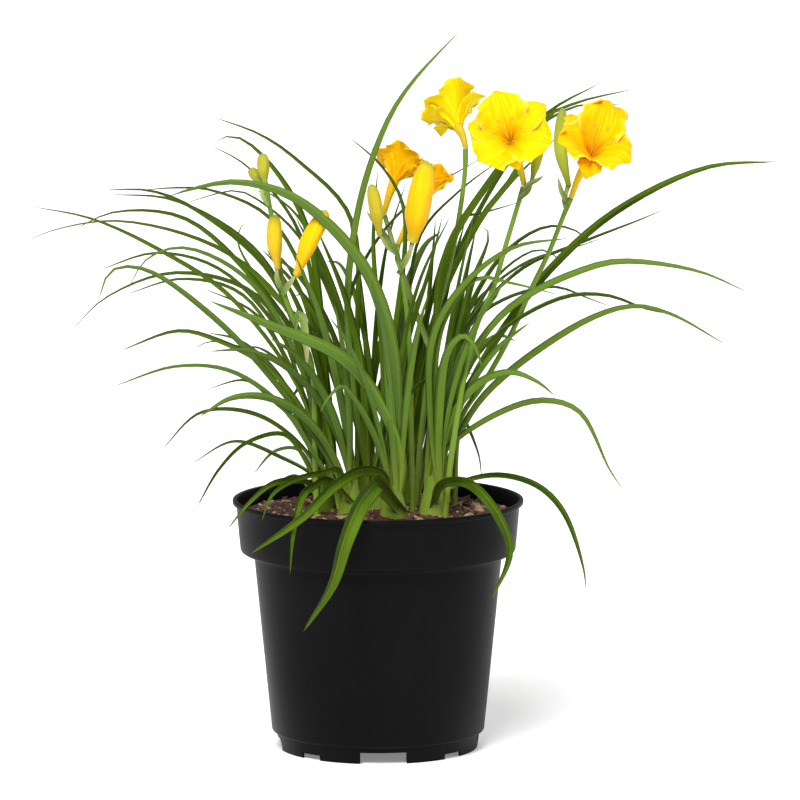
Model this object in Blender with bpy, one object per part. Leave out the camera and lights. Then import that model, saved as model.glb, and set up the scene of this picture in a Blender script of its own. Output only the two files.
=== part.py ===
# Potted daylily: a clump of strap leaves in fans, with flower stalks, blooms and buds, and its nursery pot.
# The origin is the middle of the pot's underside, +Z is up and the seen front faces -Y.
import math
import random

import bmesh
import bpy
from mathutils import Vector, noise
from mathutils.bvhtree import BVHTree

MM = 0.001
SEED = 41
GAP = 0.35

# Pot, in millimetres
POT_STEPS = 28
POT_HEIGHT = 190.0
LIP_RADIUS = 110.0
COLLAR_TOP_RADIUS = 107.2
COLLAR_FOOT_RADIUS = 104.2
BODY_TOP_RADIUS = 93.7
BODY_FOOT_RADIUS = 80.6
FOOT_RADIUS = 75.5
WALL = 1.6
FLOOR_LOW = 9.0
FLOOR_HIGH = 10.6
WIDE_NOTCH = (34.8, 8.7)
NARROW_NOTCH = (17.2, 4.0)
NOTCH_TURN = 3.3
DRAIN_RADIUS = 6.0
DRAIN_RING = 61.0

# Soil
SOIL_EDGE = 178.0
SOIL_MIDDLE = 182.0
SOIL_ROUGHNESS = 1.6

# Leaf fans
BLADE_THICKNESS = 0.7
SHEATH_FOOT = 160.0
SHEATH_TOP = 204.0
SHEATH_LENGTH = 12.0
SHEATH_DEPTH = 5.6
ROOT_HEIGHT = 186.0

# The plant was read from the front at this tilt, as right, up and behind the pot's axis
VIEW_TILT = math.radians(8.0)

# Each fan: place of its crown on the soil (right, behind) and the turn of its long side in degrees
FANS = {
    "left": (-40.0, -4.0, 60.0),
    "front_left": (-20.0, -24.0, 10.0),
    "front": (12.0, -34.0, 8.0),
    "front_right": (40.0, -20.0, -35.0),
    "right": (44.0, 10.0, 80.0),
    "back_right": (22.0, 30.0, 10.0),
    "back": (-8.0, 32.0, -5.0),
    "back_left": (-36.0, 22.0, -30.0),
    "middle": (0.0, 0.0, 15.0),
}

# Each leaf: fan, seen width, depth of its tip behind the axis, then its middle line as (right, up)
LEAVES = [
    ("middle", 7, -15, [(-15, 240), (-24, 330), (-20, 381), (-9, 431), (9, 476), (26, 501), (64, 541)]),
    ("front", 12, -50, [(15, 230), (12, 308), (-11, 366), (-60, 413), (-104, 425), (-139, 419), (-156, 413)]),
    ("front", 13, -74, [(19, 217), (4, 260), (-26, 296), (-80, 319), (-125, 336)]),
    ("right", 8, 14, [(52, 235), (71, 280), (100, 326), (135, 368), (180, 406), (248, 438), (303, 442)]),
    ("front_right", 7, -26, [(50, 245), (65, 290), (100, 334), (160, 363), (185, 367), (240, 359), (279, 342)]),
    ("right", 7, -6, [(52, 215), (72, 257), (100, 286), (160, 325), (193, 334), (220, 328), (264, 303)]),
    ("right", 8, 24, [(42, 300), (50, 372), (80, 423), (126, 478), (169, 502)]),
    ("front_right", 6, -30, [(47, 221), (80, 248), (121, 263), (151, 255), (175, 209), (186, 193)]),
    ("front_right", 9, -46, [(48, 235), (60, 261), (80, 279), (100, 284), (120, 276), (133, 265)]),
    ("front_right", 6, -58, [(53, 197), (88, 207), (120, 199), (140, 179), (155, 136), (157, 118)]),
    ("front_right", 7, -52, [(38, 250), (40, 308), (60, 345), (100, 376), (143, 383)]),
    ("front_right", 5, -66, [(40, 270), (50, 325), (75, 354), (100, 350), (138, 340)]),
    ("front_right", 9, -60, [(44, 240), (52, 300), (64, 311), (73, 302), (78, 285)]),
    ("front_right", 9, 2, [(52, 270), (68, 345), (83, 388), (77, 394)]),
    ("right", 5, 34, [(60, 310), (85, 362), (110, 386), (130, 394), (148, 391), (164, 379)]),
    ("right", 4, 44, [(64, 280), (90, 314), (140, 341), (173, 342), (204, 331), (231, 326)]),
    ("right", 4, 58, [(55, 200), (58, 240), (64, 250), (77, 223), (80, 201)]),
    ("back_right", 4, 70, [(60, 300), (90, 357), (120, 377), (133, 374), (144, 363)]),
    ("back_right", 4, 84, [(56, 300), (84, 334), (133, 350), (164, 340), (183, 333)]),
    ("back_right", 4, 48, [(60, 310), (107, 362), (155, 383), (200, 400), (219, 408)]),
    ("back_right", 4, 98, [(60, 320), (110, 367), (155, 381), (175, 388)]),
    ("back_right", 6, 64, [(40, 320), (77, 400), (101, 431), (126, 476), (150, 488), (196, 499)]),
    ("back_right", 5, 80, [(36, 300), (70, 396), (118, 468), (148, 487), (168, 490), (190, 489)]),
    ("back_right", 5, 56, [(30, 300), (63, 400), (80, 405), (112, 414)]),
    ("back_right", 5, 92, [(30, 310), (62, 380), (100, 428), (141, 468)]),
    ("back_right", 4, 40, [(20, 260), (30, 385), (60, 420), (95, 446)]),
    ("middle", 4, 30, [(-18, 260), (-24, 334), (-8, 374), (23, 411), (82, 448)]),
    ("middle", 5, 16, [(12, 300), (20, 406), (4, 437), (-24, 462)]),
    ("middle", 5, -8, [(4, 300), (-3, 380), (0, 438)]),
    ("front", 5, -28, [(14, 280), (30, 350), (55, 402)]),
    ("right", 5, 0, [(48, 280), (60, 350), (72, 401)]),
    ("front", 6, -46, [(0, 232), (-16, 262), (-27, 273), (-38, 262), (-43, 252)]),
    ("front", 5, -36, [(18, 260), (34, 277), (52, 281), (75, 283)]),
    ("front_left", 4, -44, [(-36, 240), (-66, 330), (-114, 375), (-190, 397), (-240, 391), (-270, 379)]),
    ("front_left", 6, -66, [(-40, 225), (-73, 272), (-120, 323), (-174, 360), (-197, 358), (-207, 333)]),
    ("front_left", 5, -54, [(-44, 236), (-80, 286), (-120, 308), (-150, 315), (-196, 299)]),
    ("front_left", 5, -84, [(-40, 212), (-69, 257), (-109, 285), (-150, 288), (-197, 272)]),
    ("front_left", 9, -40, [(-36, 235), (-43, 272), (-50, 279), (-60, 272), (-66, 262)]),
    ("left", 5, 0, [(-50, 270), (-80, 358), (-140, 408), (-171, 420), (-211, 420)]),
    ("left", 4, 16, [(-52, 280), (-84, 368), (-150, 412), (-203, 417)]),
    ("left", 4, -20, [(-54, 262), (-109, 340), (-160, 374), (-215, 399), (-262, 408)]),
    ("left", 5, -34, [(-54, 280), (-95, 352), (-145, 377), (-173, 368), (-189, 341)]),
    ("left", 4, 6, [(-56, 270), (-89, 341), (-152, 360), (-208, 340), (-236, 312)]),
    ("left", 4, 30, [(-50, 250), (-90, 326), (-134, 348)]),
    ("left", 3, -44, [(-56, 240), (-84, 292), (-125, 307), (-142, 300)]),
    ("left", 4, -14, [(-50, 210), (-70, 238), (-100, 231), (-120, 211), (-137, 181)]),
    ("left", 4, 24, [(-50, 220), (-89, 252), (-134, 254), (-166, 223)]),
    ("left", 3, 44, [(-48, 194), (-62, 206), (-79, 198), (-84, 190)]),
    ("back_left", 7, 34, [(-40, 300), (-56, 400), (-92, 452), (-111, 462), (-124, 457)]),
    ("back_left", 5, 76, [(-42, 300), (-60, 392), (-100, 441), (-130, 458)]),
    ("back_left", 4, 52, [(-44, 320), (-80, 400), (-127, 423), (-152, 425), (-184, 423)]),
    ("back_left", 5, 42, [(-50, 290), (-100, 362), (-147, 401), (-200, 405), (-232, 391)]),
    ("back_left", 4, 70, [(-54, 280), (-114, 359), (-167, 375), (-215, 361)]),
    ("back_left", 4, 92, [(-54, 260), (-102, 343), (-150, 356), (-197, 343)]),
    ("back_left", 4, 110, [(-50, 250), (-63, 280), (-92, 303), (-109, 301)]),
    ("back_left", 4, 78, [(-50, 235), (-79, 263), (-100, 278), (-132, 270)]),
    ("back_left", 3, 62, [(-48, 205), (-73, 220), (-109, 232), (-144, 213)]),
    ("back_left", 3, 98, [(-46, 205), (-62, 226), (-80, 224), (-98, 204)]),
    ("back", 5, 62, [(-14, 300), (-20, 401), (-60, 444), (-89, 464), (-127, 478)]),
    ("back", 5, 92, [(-20, 280), (-95, 360), (-108, 388), (-100, 401)]),
    ("back", 4, 78, [(-18, 300), (-56, 396), (-80, 418), (-99, 422)]),
    ("back", 5, 46, [(-4, 300), (6, 380), (22, 430)]),
    ("middle", 4, 24, [(-20, 300), (-60, 388), (-100, 420), (-111, 422), (-152, 411)]),
    ("back_right", 6, 36, [(34, 300), (40, 360), (44, 403)]),
    ("middle", 6, 10, [(20, 300), (38, 360), (49, 403)]),
    ("right", 8, 22, [(50, 280), (62, 340), (74, 392)]),
    ("back_right", 8, 48, [(36, 280), (52, 350), (66, 398)]),
    ("front_left", 8, -22, [(-30, 280), (-44, 330), (-62, 372)]),
    ("left", 7, -8, [(-46, 260), (-62, 320), (-84, 366)]),
    ("middle", 8, 0, [(-10, 280), (-24, 340), (-46, 392)]),
    ("back", 8, 40, [(-16, 280), (-36, 350), (-64, 404)]),
    ("back_left", 7, 50, [(-40, 270), (-58, 330), (-86, 380)]),
    ("front", 8, -30, [(10, 260), (4, 320), (-14, 366)]),
    ("front_left", 7, -34, [(-20, 240), (-24, 290), (-32, 334)]),
]

# Leaves that hang over the rim toward the front: fan, width and middle line as (right, up, behind)
RIM_LEAVES = [
    ("front_left", 6, [(-29, 210, -32), (-41, 209, -48), (-64, 203, -70), (-80, 190, -96), (-86, 172, -104)]),
    ("left", 5, [(-49, 199, -26), (-62, 203, -50), (-80, 200, -74), (-96, 186, -88), (-112, 166, -92)]),
    ("front", 10, [(6, 206, -44), (-11, 211, -66), (-32, 200, -94), (-56, 176, -116), (-95, 148, -112)]),
    ("front_left", 7, [(-36, 203, -44), (-48, 199, -70), (-57, 190, -96), (-63, 162, -114), (-65, 132, -112)]),
    ("front", 16, [(1, 200, -58), (-6, 196, -88), (-16, 182, -114), (-26, 156, -126), (-34, 127, -126),
                   (-55, 91, -122)]),
    ("front_right", 10, [(46, 199, -40), (62, 203, -66), (76, 196, -88), (92, 174, -100), (99, 148, -92),
                         (84, 112, -90)]),
]

# Young and hidden leaves that fill each fan: how many, and the compass sector they lean to in degrees
FILL = {
    "left": (1, 150, 215),
    "front_left": (3, 200, 300),
    "front": (4, 230, 310),
    "front_right": (3, 270, 340),
    "right": (2, 10, 70),
    "back_right": (4, 35, 100),
    "back": (7, 60, 125),
    "back_left": (4, 95, 150),
    "middle": (4, 20, 160),
}

# Flower stalks: points as (right, up, behind) from the soil to the top, then their short branches
SCAPES = {
    "scape_left": {
        "stem": [(-46, 165, -26), (-47, 220, -27), (-50, 290, -28), (-60, 316, -28), (-70, 342, -28),
                 (-75, 375, -24), (-80, 402, -20), (-84, 424, -20)],
        "branches": [[(-71, 346, -27), (-75, 354, -31), (-75, 361, -34)],
                     [(-70, 343, -28), (-66, 349, -33), (-61, 356, -37)],
                     [(-82, 410, -20), (-86, 418, -16), (-88, 424, -14)]],
        "bracts": [([(-61, 318, -30), (-58, 328, -35), (-54, 304, -38), (-53, 287, -38)], 8)],
    },
    "scape_middle": {
        "stem": [(26, 165, -12), (25, 235, -12), (24, 300, -12), (20, 343, -12), (15, 370, -12),
                 (11, 379, -14)],
        "branches": [[(13, 374, -13), (5, 382, -16), (2, 386, -18)],
                     [(17, 360, -12), (23, 370, -17), (26, 381, -20)],
                     [(17, 362, -12), (15, 372, -4), (15, 378, 2)]],
        "bracts": [([(12, 377, -13), (5, 388, -9), (-4, 398, -8), (-9, 405, -9)], 5)],
    },
    "scape_tall": {
        "stem": [(28, 165, 12), (32, 230, 13), (45, 330, 16), (55, 368, 19), (63, 412, 24), (66, 440, 28),
                 (66, 452, 30)],
        "branches": [[(40, 300, 15), (22, 350, 26), (8, 392, 30), (5, 402, 30)]],
        "bracts": [],
    },
    "scape_front": {
        "stem": [(50, 165, -34), (55, 220, -35), (73, 315, -34), (86, 345, -32), (96, 379, -28),
                 (106, 412, -24), (109, 422, -23)],
        "branches": [[(107, 414, -24), (113, 420, -22), (115, 426, -21)]],
        "bracts": [([(108, 418, -24), (114, 424, -27), (120, 427, -28), (124, 430, -28)], 5)],
    },
    "scape_right": {
        "stem": [(57, 162, 27), (58, 188, 27), (63, 248, 24), (80, 275, 18), (100, 311, 12), (116, 347, 8),
                 (129, 374, 5), (140, 402, 2), (145, 414, 0)],
        "branches": [[(142, 406, 1), (141, 416, 6), (143, 423, 9)]],
        "bracts": [([(143, 410, 1), (138, 420, -4), (135, 430, -5)], 5)],
    },
}

# Buds: the stalk and branch that carries each (None is the stalk's own end), then its middle and top as
# (right, up, behind), and the widest radius
BUDS = {
    "bud_left_upright": ("scape_left", 0, [(-77, 383, -36), (-77, 401, -36)], 5.4),
    "bud_left_slanted": ("scape_left", 1, [(-50, 382, -42), (-38, 404, -44)], 6.3),
    "bud_top_large": ("scape_left", None, [(-85.5, 437, -20), (-86, 447, -20)], 4.3),
    "bud_top_small": ("scape_left", 2, [(-92, 431, -12), (-96, 436, -12)], 3.6),
    "bud_green": ("scape_middle", 0, [(-1, 405, -22), (-5, 424, -24)], 4.8),
    "bud_large": ("scape_middle", 1, [(31, 408, -26), (37, 441, -30)], 8.6),
    "bud_narrow": ("scape_front", 0, [(119, 441, -14), (123, 455, -10)], 3.4),
    "bud_long": ("scape_right", 0, [(138, 452, 20), (139, 483, 24)], 4.6),
}

# Blooms: the stalk and branch, then the tube's middle and throat as (right, up, behind), the way they
# face, the turn of the first petal in degrees, the petals' reach, and how far they open (1 is flat)
BLOOMS = {
    "bloom_front": ("scape_front", None, [(106, 438, -24), (99, 455, -34)], (-0.12, 0.30, -0.95), 100, 40, 1.0),
    "bloom_right": ("scape_right", None, [(151, 430, -2), (160, 446, -8)], (0.25, 0.62, -0.74), 80, 38, 1.0),
    "bloom_behind": ("scape_tall", None, [(64, 462, 35), (60, 470, 42)], (-0.35, 0.72, 0.55), 70, 34, 0.85),
    "bloom_turned": ("scape_tall", 0, [(8, 416, 33), (13, 430, 38)], (0.30, 0.76, 0.56), 90, 31, 0.75),
    "bloom_half_open": ("scape_middle", 2, [(24, 398, 6), (36, 418, 8)], (0.42, 0.88, 0.1), 90, 28, 0.35),
}


def from_view(right, up, behind):
    rise = (up - behind * math.sin(VIEW_TILT)) / math.cos(VIEW_TILT)
    return Vector((right, behind, rise))


def material(name, colour, roughness):
    made = bpy.data.materials.new(name)
    made.use_nodes = True
    shader = made.node_tree.nodes["Principled BSDF"]
    shader.inputs["Base Color"].default_value = (*colour, 1.0)
    shader.inputs["Roughness"].default_value = roughness
    shader.inputs["Metallic"].default_value = 0.0
    return made


def place(name, mesh, look):
    piece = bpy.data.objects.new(name, mesh)
    bpy.context.scene.collection.objects.link(piece)
    mesh.materials.clear()
    mesh.materials.append(look)
    return piece


def mesh_from(name, points, faces):
    mesh = bpy.data.meshes.new(name)
    mesh.from_pydata([tuple(point * MM) for point in points], [], faces)
    mesh.update()
    return mesh


def closed_outward(mesh):
    form = bmesh.new()
    form.from_mesh(mesh)
    bmesh.ops.recalc_face_normals(form, faces=form.faces)
    if form.calc_volume(signed=True) < 0:
        bmesh.ops.reverse_faces(form, faces=form.faces)
    form.to_mesh(mesh)
    form.free()


def turned(name, profile):
    # A closed profile of (radius, height) spun about the pot's axis
    form = bmesh.new()
    verts = [form.verts.new((radius * MM, 0.0, height * MM)) for radius, height in profile]
    edges = [form.edges.new((verts[i], verts[i + 1])) for i in range(len(verts) - 1)]
    bmesh.ops.spin(form, geom=verts + edges, cent=(0, 0, 0), axis=(0, 0, 1), angle=math.tau,
                   steps=POT_STEPS, use_merge=True, use_duplicate=False)
    bmesh.ops.remove_doubles(form, verts=form.verts, dist=0.00001)
    bmesh.ops.triangulate(form, faces=form.faces)
    mesh = bpy.data.meshes.new(name)
    form.to_mesh(mesh)
    form.free()
    closed_outward(mesh)
    return mesh


def cutter_box(name, size, centre, turn):
    form = bmesh.new()
    bmesh.ops.create_cube(form, size=1.0)
    for vert in form.verts:
        vert.co = Vector((vert.co.x * size[0], vert.co.y * size[1], vert.co.z * size[2])) + Vector(centre)
        angle = math.radians(turn)
        x, y = vert.co.x, vert.co.y
        vert.co.x = x * math.cos(angle) - y * math.sin(angle)
        vert.co.y = x * math.sin(angle) + y * math.cos(angle)
        vert.co *= MM
    return finish_cutter(name, form)


def cutter_drum(name, radii, low, high, centre, turn, sides):
    form = bmesh.new()
    bmesh.ops.create_cone(form, cap_ends=True, segments=sides, radius1=1.0, radius2=1.0, depth=1.0)
    angle = math.radians(turn)
    for vert in form.verts:
        x, y = vert.co.x * radii[0], vert.co.y * radii[1]
        z = low + (vert.co.z + 0.5) * (high - low)
        across = x * math.cos(angle) - y * math.sin(angle)
        along = x * math.sin(angle) + y * math.cos(angle)
        vert.co = Vector((across + centre[0], along + centre[1], z)) * MM
    return finish_cutter(name, form)


def finish_cutter(name, form):
    bmesh.ops.recalc_face_normals(form, faces=form.faces)
    mesh = bpy.data.meshes.new(name)
    form.to_mesh(mesh)
    form.free()
    cutter = bpy.data.objects.new(name, mesh)
    bpy.context.scene.collection.objects.link(cutter)
    cutter.hide_render = True
    cutter.display_type = 'WIRE'
    return cutter


def apply_modifiers(piece):
    bpy.context.view_layer.update()
    evaluated = piece.evaluated_get(bpy.context.evaluated_depsgraph_get())
    mesh = bpy.data.meshes.new_from_object(evaluated)
    old = piece.data
    piece.modifiers.clear()
    piece.data = mesh
    bpy.data.meshes.remove(old)


def boolean_with(piece, others, operation):
    group = bpy.data.collections.new(piece.name + "_tools")
    for other in others:
        group.objects.link(other)
    step = piece.modifiers.new("join", 'BOOLEAN')
    step.operation = operation
    step.operand_type = 'COLLECTION'
    step.collection = group
    step.solver = 'MANIFOLD'
    apply_modifiers(piece)
    for other in others:
        spent = other.data
        bpy.data.objects.remove(other)
        bpy.data.meshes.remove(spent)
    bpy.data.collections.remove(group)


def keep_outer_body(piece):
    # Fills hollows that the joined pieces seal between them, and drops loose scraps
    form = bmesh.new()
    form.from_mesh(piece.data)
    left = set(form.verts)
    bodies = []
    while left:
        body = {left.pop()}
        edge_of_body = list(body)
        while edge_of_body:
            vert = edge_of_body.pop()
            for edge in vert.link_edges:
                other = edge.other_vert(vert)
                if other in left:
                    left.remove(other)
                    body.add(other)
                    edge_of_body.append(other)
        bodies.append(body)
    bodies.sort(key=len)
    for body in bodies[:-1]:
        bmesh.ops.delete(form, geom=list(body), context='VERTS')
    form.to_mesh(piece.data)
    form.free()


def pot_profile():
    return [
        (0.0, 0.0), (20.0, 0.0), (24.0, FLOOR_LOW), (74.6, FLOOR_LOW), (73.8, 0.0), (FOOT_RADIUS, 0.0),
        (77.0, 12.0), (BODY_FOOT_RADIUS, 14.0), (BODY_TOP_RADIUS, 146.0), (95.4, 149.4), (103.2, 150.4),
        (COLLAR_FOOT_RADIUS, 153.6), (COLLAR_TOP_RADIUS, 186.0), (LIP_RADIUS, 187.0), (LIP_RADIUS, 189.4),
        (LIP_RADIUS - 0.7, POT_HEIGHT), (107.2, POT_HEIGHT), (COLLAR_TOP_RADIUS - WALL, 186.0),
        (COLLAR_FOOT_RADIUS - WALL, 154.4), (94.0, 151.6),
        (BODY_TOP_RADIUS - WALL, 147.0), (BODY_FOOT_RADIUS - WALL + 0.4, 18.0), (75.4, 13.2),
        (74.4, FLOOR_HIGH), (26.0, FLOOR_HIGH), (22.2, WALL), (0.0, WALL),
    ]


def make_pot(look):
    pot = place("pot", turned("pot", pot_profile()), look)
    cutters = []
    for quarter in range(4):
        turn = NOTCH_TURN + 90.0 * quarter
        wide, wide_height = WIDE_NOTCH
        narrow, narrow_height = NARROW_NOTCH
        cutters.append(cutter_box("cut_wide", (wide, 10.0, wide_height + 1.0),
                                  (0.0, -76.0, (wide_height - 1.0) / 2), turn))
        cutters.append(cutter_box("cut_narrow", (narrow, 10.0, narrow_height + 1.0),
                                  (0.0, -75.0, (narrow_height - 1.0) / 2), turn + 45.0))
        angle = math.radians(turn - 90.0)
        place_on_ring = (DRAIN_RING * math.cos(angle), DRAIN_RING * math.sin(angle))
        round_hole = (DRAIN_RADIUS, DRAIN_RADIUS)
        cutters.append(cutter_drum("cut_drain", round_hole, 6.0, 13.0, place_on_ring, 0.0, 10))
    boolean_with(pot, cutters, 'DIFFERENCE')
    keep_outer_body(pot)
    return pot


def make_soil(look):
    profile = [
        (0.0, FLOOR_HIGH + 0.4), (73.0, FLOOR_HIGH + 0.4), (78.6, 18.1),
        (BODY_TOP_RADIUS - WALL - 0.4, 147.0), (BODY_TOP_RADIUS - 1.8, 151.9), (102.1, 155.2),
        (104.4, SOIL_EDGE), (90.0, SOIL_EDGE + 0.6), (70.0, SOIL_EDGE + 1.4),
        (48.0, SOIL_EDGE + 2.6), (26.0, SOIL_MIDDLE - 0.4), (0.0, SOIL_MIDDLE),
    ]
    mesh = turned("soil", profile)
    for vert in mesh.vertices:
        reach = math.hypot(vert.co.x, vert.co.y) / MM
        if vert.co.z / MM > SOIL_EDGE + 0.3 and reach < 96.0:
            vert.co.z += noise.noise(vert.co * 61.0) * SOIL_ROUGHNESS * 2.0 * MM
    soil = place("soil", mesh, look)
    holes = []
    for right, behind, turn in FANS.values():
        radii = (SHEATH_LENGTH + GAP, SHEATH_DEPTH + GAP)
        holes.append(cutter_drum("cut_crown", radii, SHEATH_FOOT - GAP, 200.0, (right, behind), turn, 10))
    for scape in SCAPES.values():
        foot = from_view(*scape["stem"][0])
        holes.append(cutter_drum("cut_scape", (3.6, 3.6), foot.z - GAP, 200.0, (foot.x, foot.y), 0.0, 6))
    boolean_with(soil, holes, 'DIFFERENCE')
    return soil


def curve_through(points, steps):
    # A smooth line through the points, at even distances
    ends = [points[0] * 2 - points[1]] + list(points) + [points[-1] * 2 - points[-2]]
    dense = []
    for i in range(1, len(ends) - 2):
        p0, p1, p2, p3 = ends[i - 1:i + 3]
        t1 = max((p1 - p0).length, 1e-6) ** 0.5
        t2 = t1 + max((p2 - p1).length, 1e-6) ** 0.5
        t3 = t2 + max((p3 - p2).length, 1e-6) ** 0.5
        for j in range(10):
            t = t1 + (t2 - t1) * j / 10
            a1 = p0 * ((t1 - t) / t1) + p1 * (t / t1)
            a2 = p1 * ((t2 - t) / (t2 - t1)) + p2 * ((t - t1) / (t2 - t1))
            a3 = p2 * ((t3 - t) / (t3 - t2)) + p3 * ((t - t2) / (t3 - t2))
            b1 = a1 * ((t2 - t) / t2) + a2 * (t / t2)
            b2 = a2 * ((t3 - t) / (t3 - t1)) + a3 * ((t - t1) / (t3 - t1))
            dense.append(b1 * ((t2 - t) / (t2 - t1)) + b2 * ((t - t1) / (t2 - t1)))
    dense.append(points[-1].copy())
    lengths = [0.0]
    for i in range(1, len(dense)):
        lengths.append(lengths[-1] + (dense[i] - dense[i - 1]).length)
    result = []
    at = 0
    for k in range(steps + 1):
        want = lengths[-1] * k / steps
        while at < len(dense) - 2 and lengths[at + 1] < want:
            at += 1
        share = (want - lengths[at]) / max(lengths[at + 1] - lengths[at], 1e-9)
        result.append(dense[at].lerp(dense[at + 1], min(max(share, 0.0), 1.0)))
    return result, lengths[-1]


def directions(path):
    result = []
    for i in range(len(path)):
        ahead = path[min(i + 1, len(path) - 1)]
        back = path[max(i - 1, 0)]
        result.append((ahead - back).normalized())
    return result


def blade_width(share, width):
    swell = 0.72 + 0.28 * math.sin(math.pi * min(share / 0.9, 1.0))
    narrowing = max(1.0 - share ** 4.2, 0.0) ** 0.75
    return width * swell * narrowing


def blade_mesh(leaf, steps, grow=0.0):
    # A folded strap: two edges and a thicker keel, closing to a point at the tip
    path, _ = curve_through(leaf["line"], steps)
    tangents = directions(path)
    points = []
    for i in range(steps):
        share = i / steps
        upper = leaf_normal(leaf, tangents[i], share)
        side = tangents[i].cross(upper).normalized()
        half = blade_width(share, leaf["width"]) / 2 + grow
        fold = math.radians(38.0 - 26.0 * share)
        lift = upper * (half * math.sin(fold))
        reach = side * (half * math.cos(fold))
        keel = upper * (BLADE_THICKNESS / 2 + grow)
        points += [path[i] - reach + lift, path[i] + keel, path[i] + reach + lift, path[i] - keel]
    points.append(path[-1] + tangents[-1] * grow)
    faces = [(0, 1, 3), (1, 2, 3)]
    for i in range(steps - 1):
        a = 4 * i
        b = a + 4
        faces += [(a, b + 1, a + 1), (a, b, b + 1), (a + 1, b + 1, a + 2), (b + 1, b + 2, a + 2)]
        faces += [(a, a + 3, b + 3), (a, b + 3, b), (a + 3, a + 2, b + 3), (b + 3, a + 2, b + 2)]
    last = 4 * (steps - 1)
    tip = 4 * steps
    for k in range(4):
        faces.append((last + k, tip, last + (k + 1) % 4))
    return points, faces


def leaf_normal(leaf, tangent, share):
    # The upper face looks back over the leaf's arch, turned by the leaf's own roll
    toward = leaf["toward"]
    across = (toward - tangent * toward.dot(tangent)).normalized()
    arch = across.cross(tangent) * leaf["hand"]
    roll = leaf["roll"] + leaf["twist"] * (share - 0.4)
    return (arch * math.sin(roll) + across * math.cos(roll) * leaf["shows"]).normalized()


def root_point(fan, rank):
    right, behind, turn = FANS[fan]
    angle = math.radians(turn)
    offset = (SHEATH_LENGTH - 4.5) * rank
    return Vector((right + offset * math.cos(angle), behind + offset * math.sin(angle), ROOT_HEIGHT))


def depth_line(fan, rank, flat_points, tip_depth, bend):
    # Gives a leaf read in the view its depth, growing from its crown to its tip
    root = root_point(fan, rank)
    root_up = root.z * math.cos(VIEW_TILT) + root.y * math.sin(VIEW_TILT)
    flat = [Vector((root.x, root_up, 0.0))] + [Vector((right, up, 0.0)) for right, up in flat_points]
    run = [0.0]
    for i in range(1, len(flat)):
        run.append(run[-1] + (flat[i] - flat[i - 1]).length)
    line = []
    for point, gone in zip(flat, run):
        behind = root.y + (tip_depth - root.y) * (gone / run[-1]) ** bend
        line.append(from_view(point.x, point.y, behind))
    line[0] = root
    return line


def make_leaf(fan, width, line, rng):
    lean = line[-1].x - line[0].x
    full = max(width * 1.12, 6.6)
    roll = math.acos(min(width / full, 0.94))
    return {
        "fan": fan,
        "line": line,
        "width": full,
        "hand": 1.0 if lean < 0 else -1.0,
        "toward": Vector((0.0, -math.cos(VIEW_TILT), math.sin(VIEW_TILT))),
        "shows": -1.0 if line[-1].y < line[0].y - 8.0 else 1.0,
        "roll": roll,
        "twist": math.radians(rng.uniform(-25.0, 25.0)),
    }


def leaf_steps(leaf):
    if leaf.get("hidden"):
        return 5
    _, length = curve_through(leaf["line"], 4)
    return 6 if length > 230.0 else 5


def tree_of(points, faces):
    return BVHTree.FromPolygons([tuple(point) for point in points], faces)


class Neighbours:
    # What has been placed so far, by node, so that a new leaf can be bent clear of it
    def __init__(self):
        self.trees = {}

    def add(self, node, points, faces):
        self.trees.setdefault(node, []).append(tree_of(points, faces))

    def meets(self, node, points, faces):
        tree = tree_of(points, faces)
        for other, placed in self.trees.items():
            if other != node and any(tree.overlap(one) for one in placed):
                return True
        return False

    def own_crossings(self, node, points, faces):
        tree = tree_of(points, faces)
        return sum(1 for one in self.trees.get(node, []) if tree.overlap(one))


def settle(options, neighbours):
    # Takes the first form of a leaf that clears every other node, and best its own fan too
    fallback = None
    for leaf in options:
        steps = leaf_steps(leaf)
        points, faces = blade_mesh(leaf, steps, GAP)
        if neighbours.meets(leaf["fan"], points, faces):
            continue
        crossings = neighbours.own_crossings(leaf["fan"], points, faces)
        if crossings == 0:
            return leaf
        if fallback is None or crossings < fallback[0]:
            fallback = (crossings, leaf)
    return fallback[1] if fallback else None


def read_leaf_options(entry, rank, rng):
    fan, width, tip_depth, flat_points = entry
    twist_rng = rng.random()
    for bend in (1.4, 0.9, 2.1):
        for nudge in (0, 7, -7, 14, -14, 22, -22, 32, -32, 44, -44, 58, -58):
            for shift in (0.0, 0.5, -0.5):
                place_in_fan = min(max(rank + shift, -1.0), 1.0)
                line = depth_line(fan, place_in_fan, flat_points, tip_depth + nudge, bend)
                leaf = make_leaf(fan, width, line, random.Random(twist_rng))
                yield leaf


def rim_leaf_options(entry, rank, rng):
    fan, width, points = entry
    twist_rng = rng.random()
    for lift in (0.0, 3.0, 6.0, 9.0, 13.0):
        for nudge in (0.0, -5.0, 5.0, -10.0, 10.0, -16.0):
            for shift in (0.0, 0.6, -0.6):
                place_in_fan = min(max(rank + shift, -1.0), 1.0)
                line = [root_point(fan, place_in_fan)]
                for i, (right, up, behind) in enumerate(points):
                    share = (i + 1) / len(points)
                    line.append(from_view(right, up + lift * (1 - share), behind + nudge))
                leaf = make_leaf(fan, width, line, random.Random(twist_rng))
                leaf["shows"] = 1.0
                leaf["roll"] = math.radians(28.0)
                yield leaf


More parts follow.
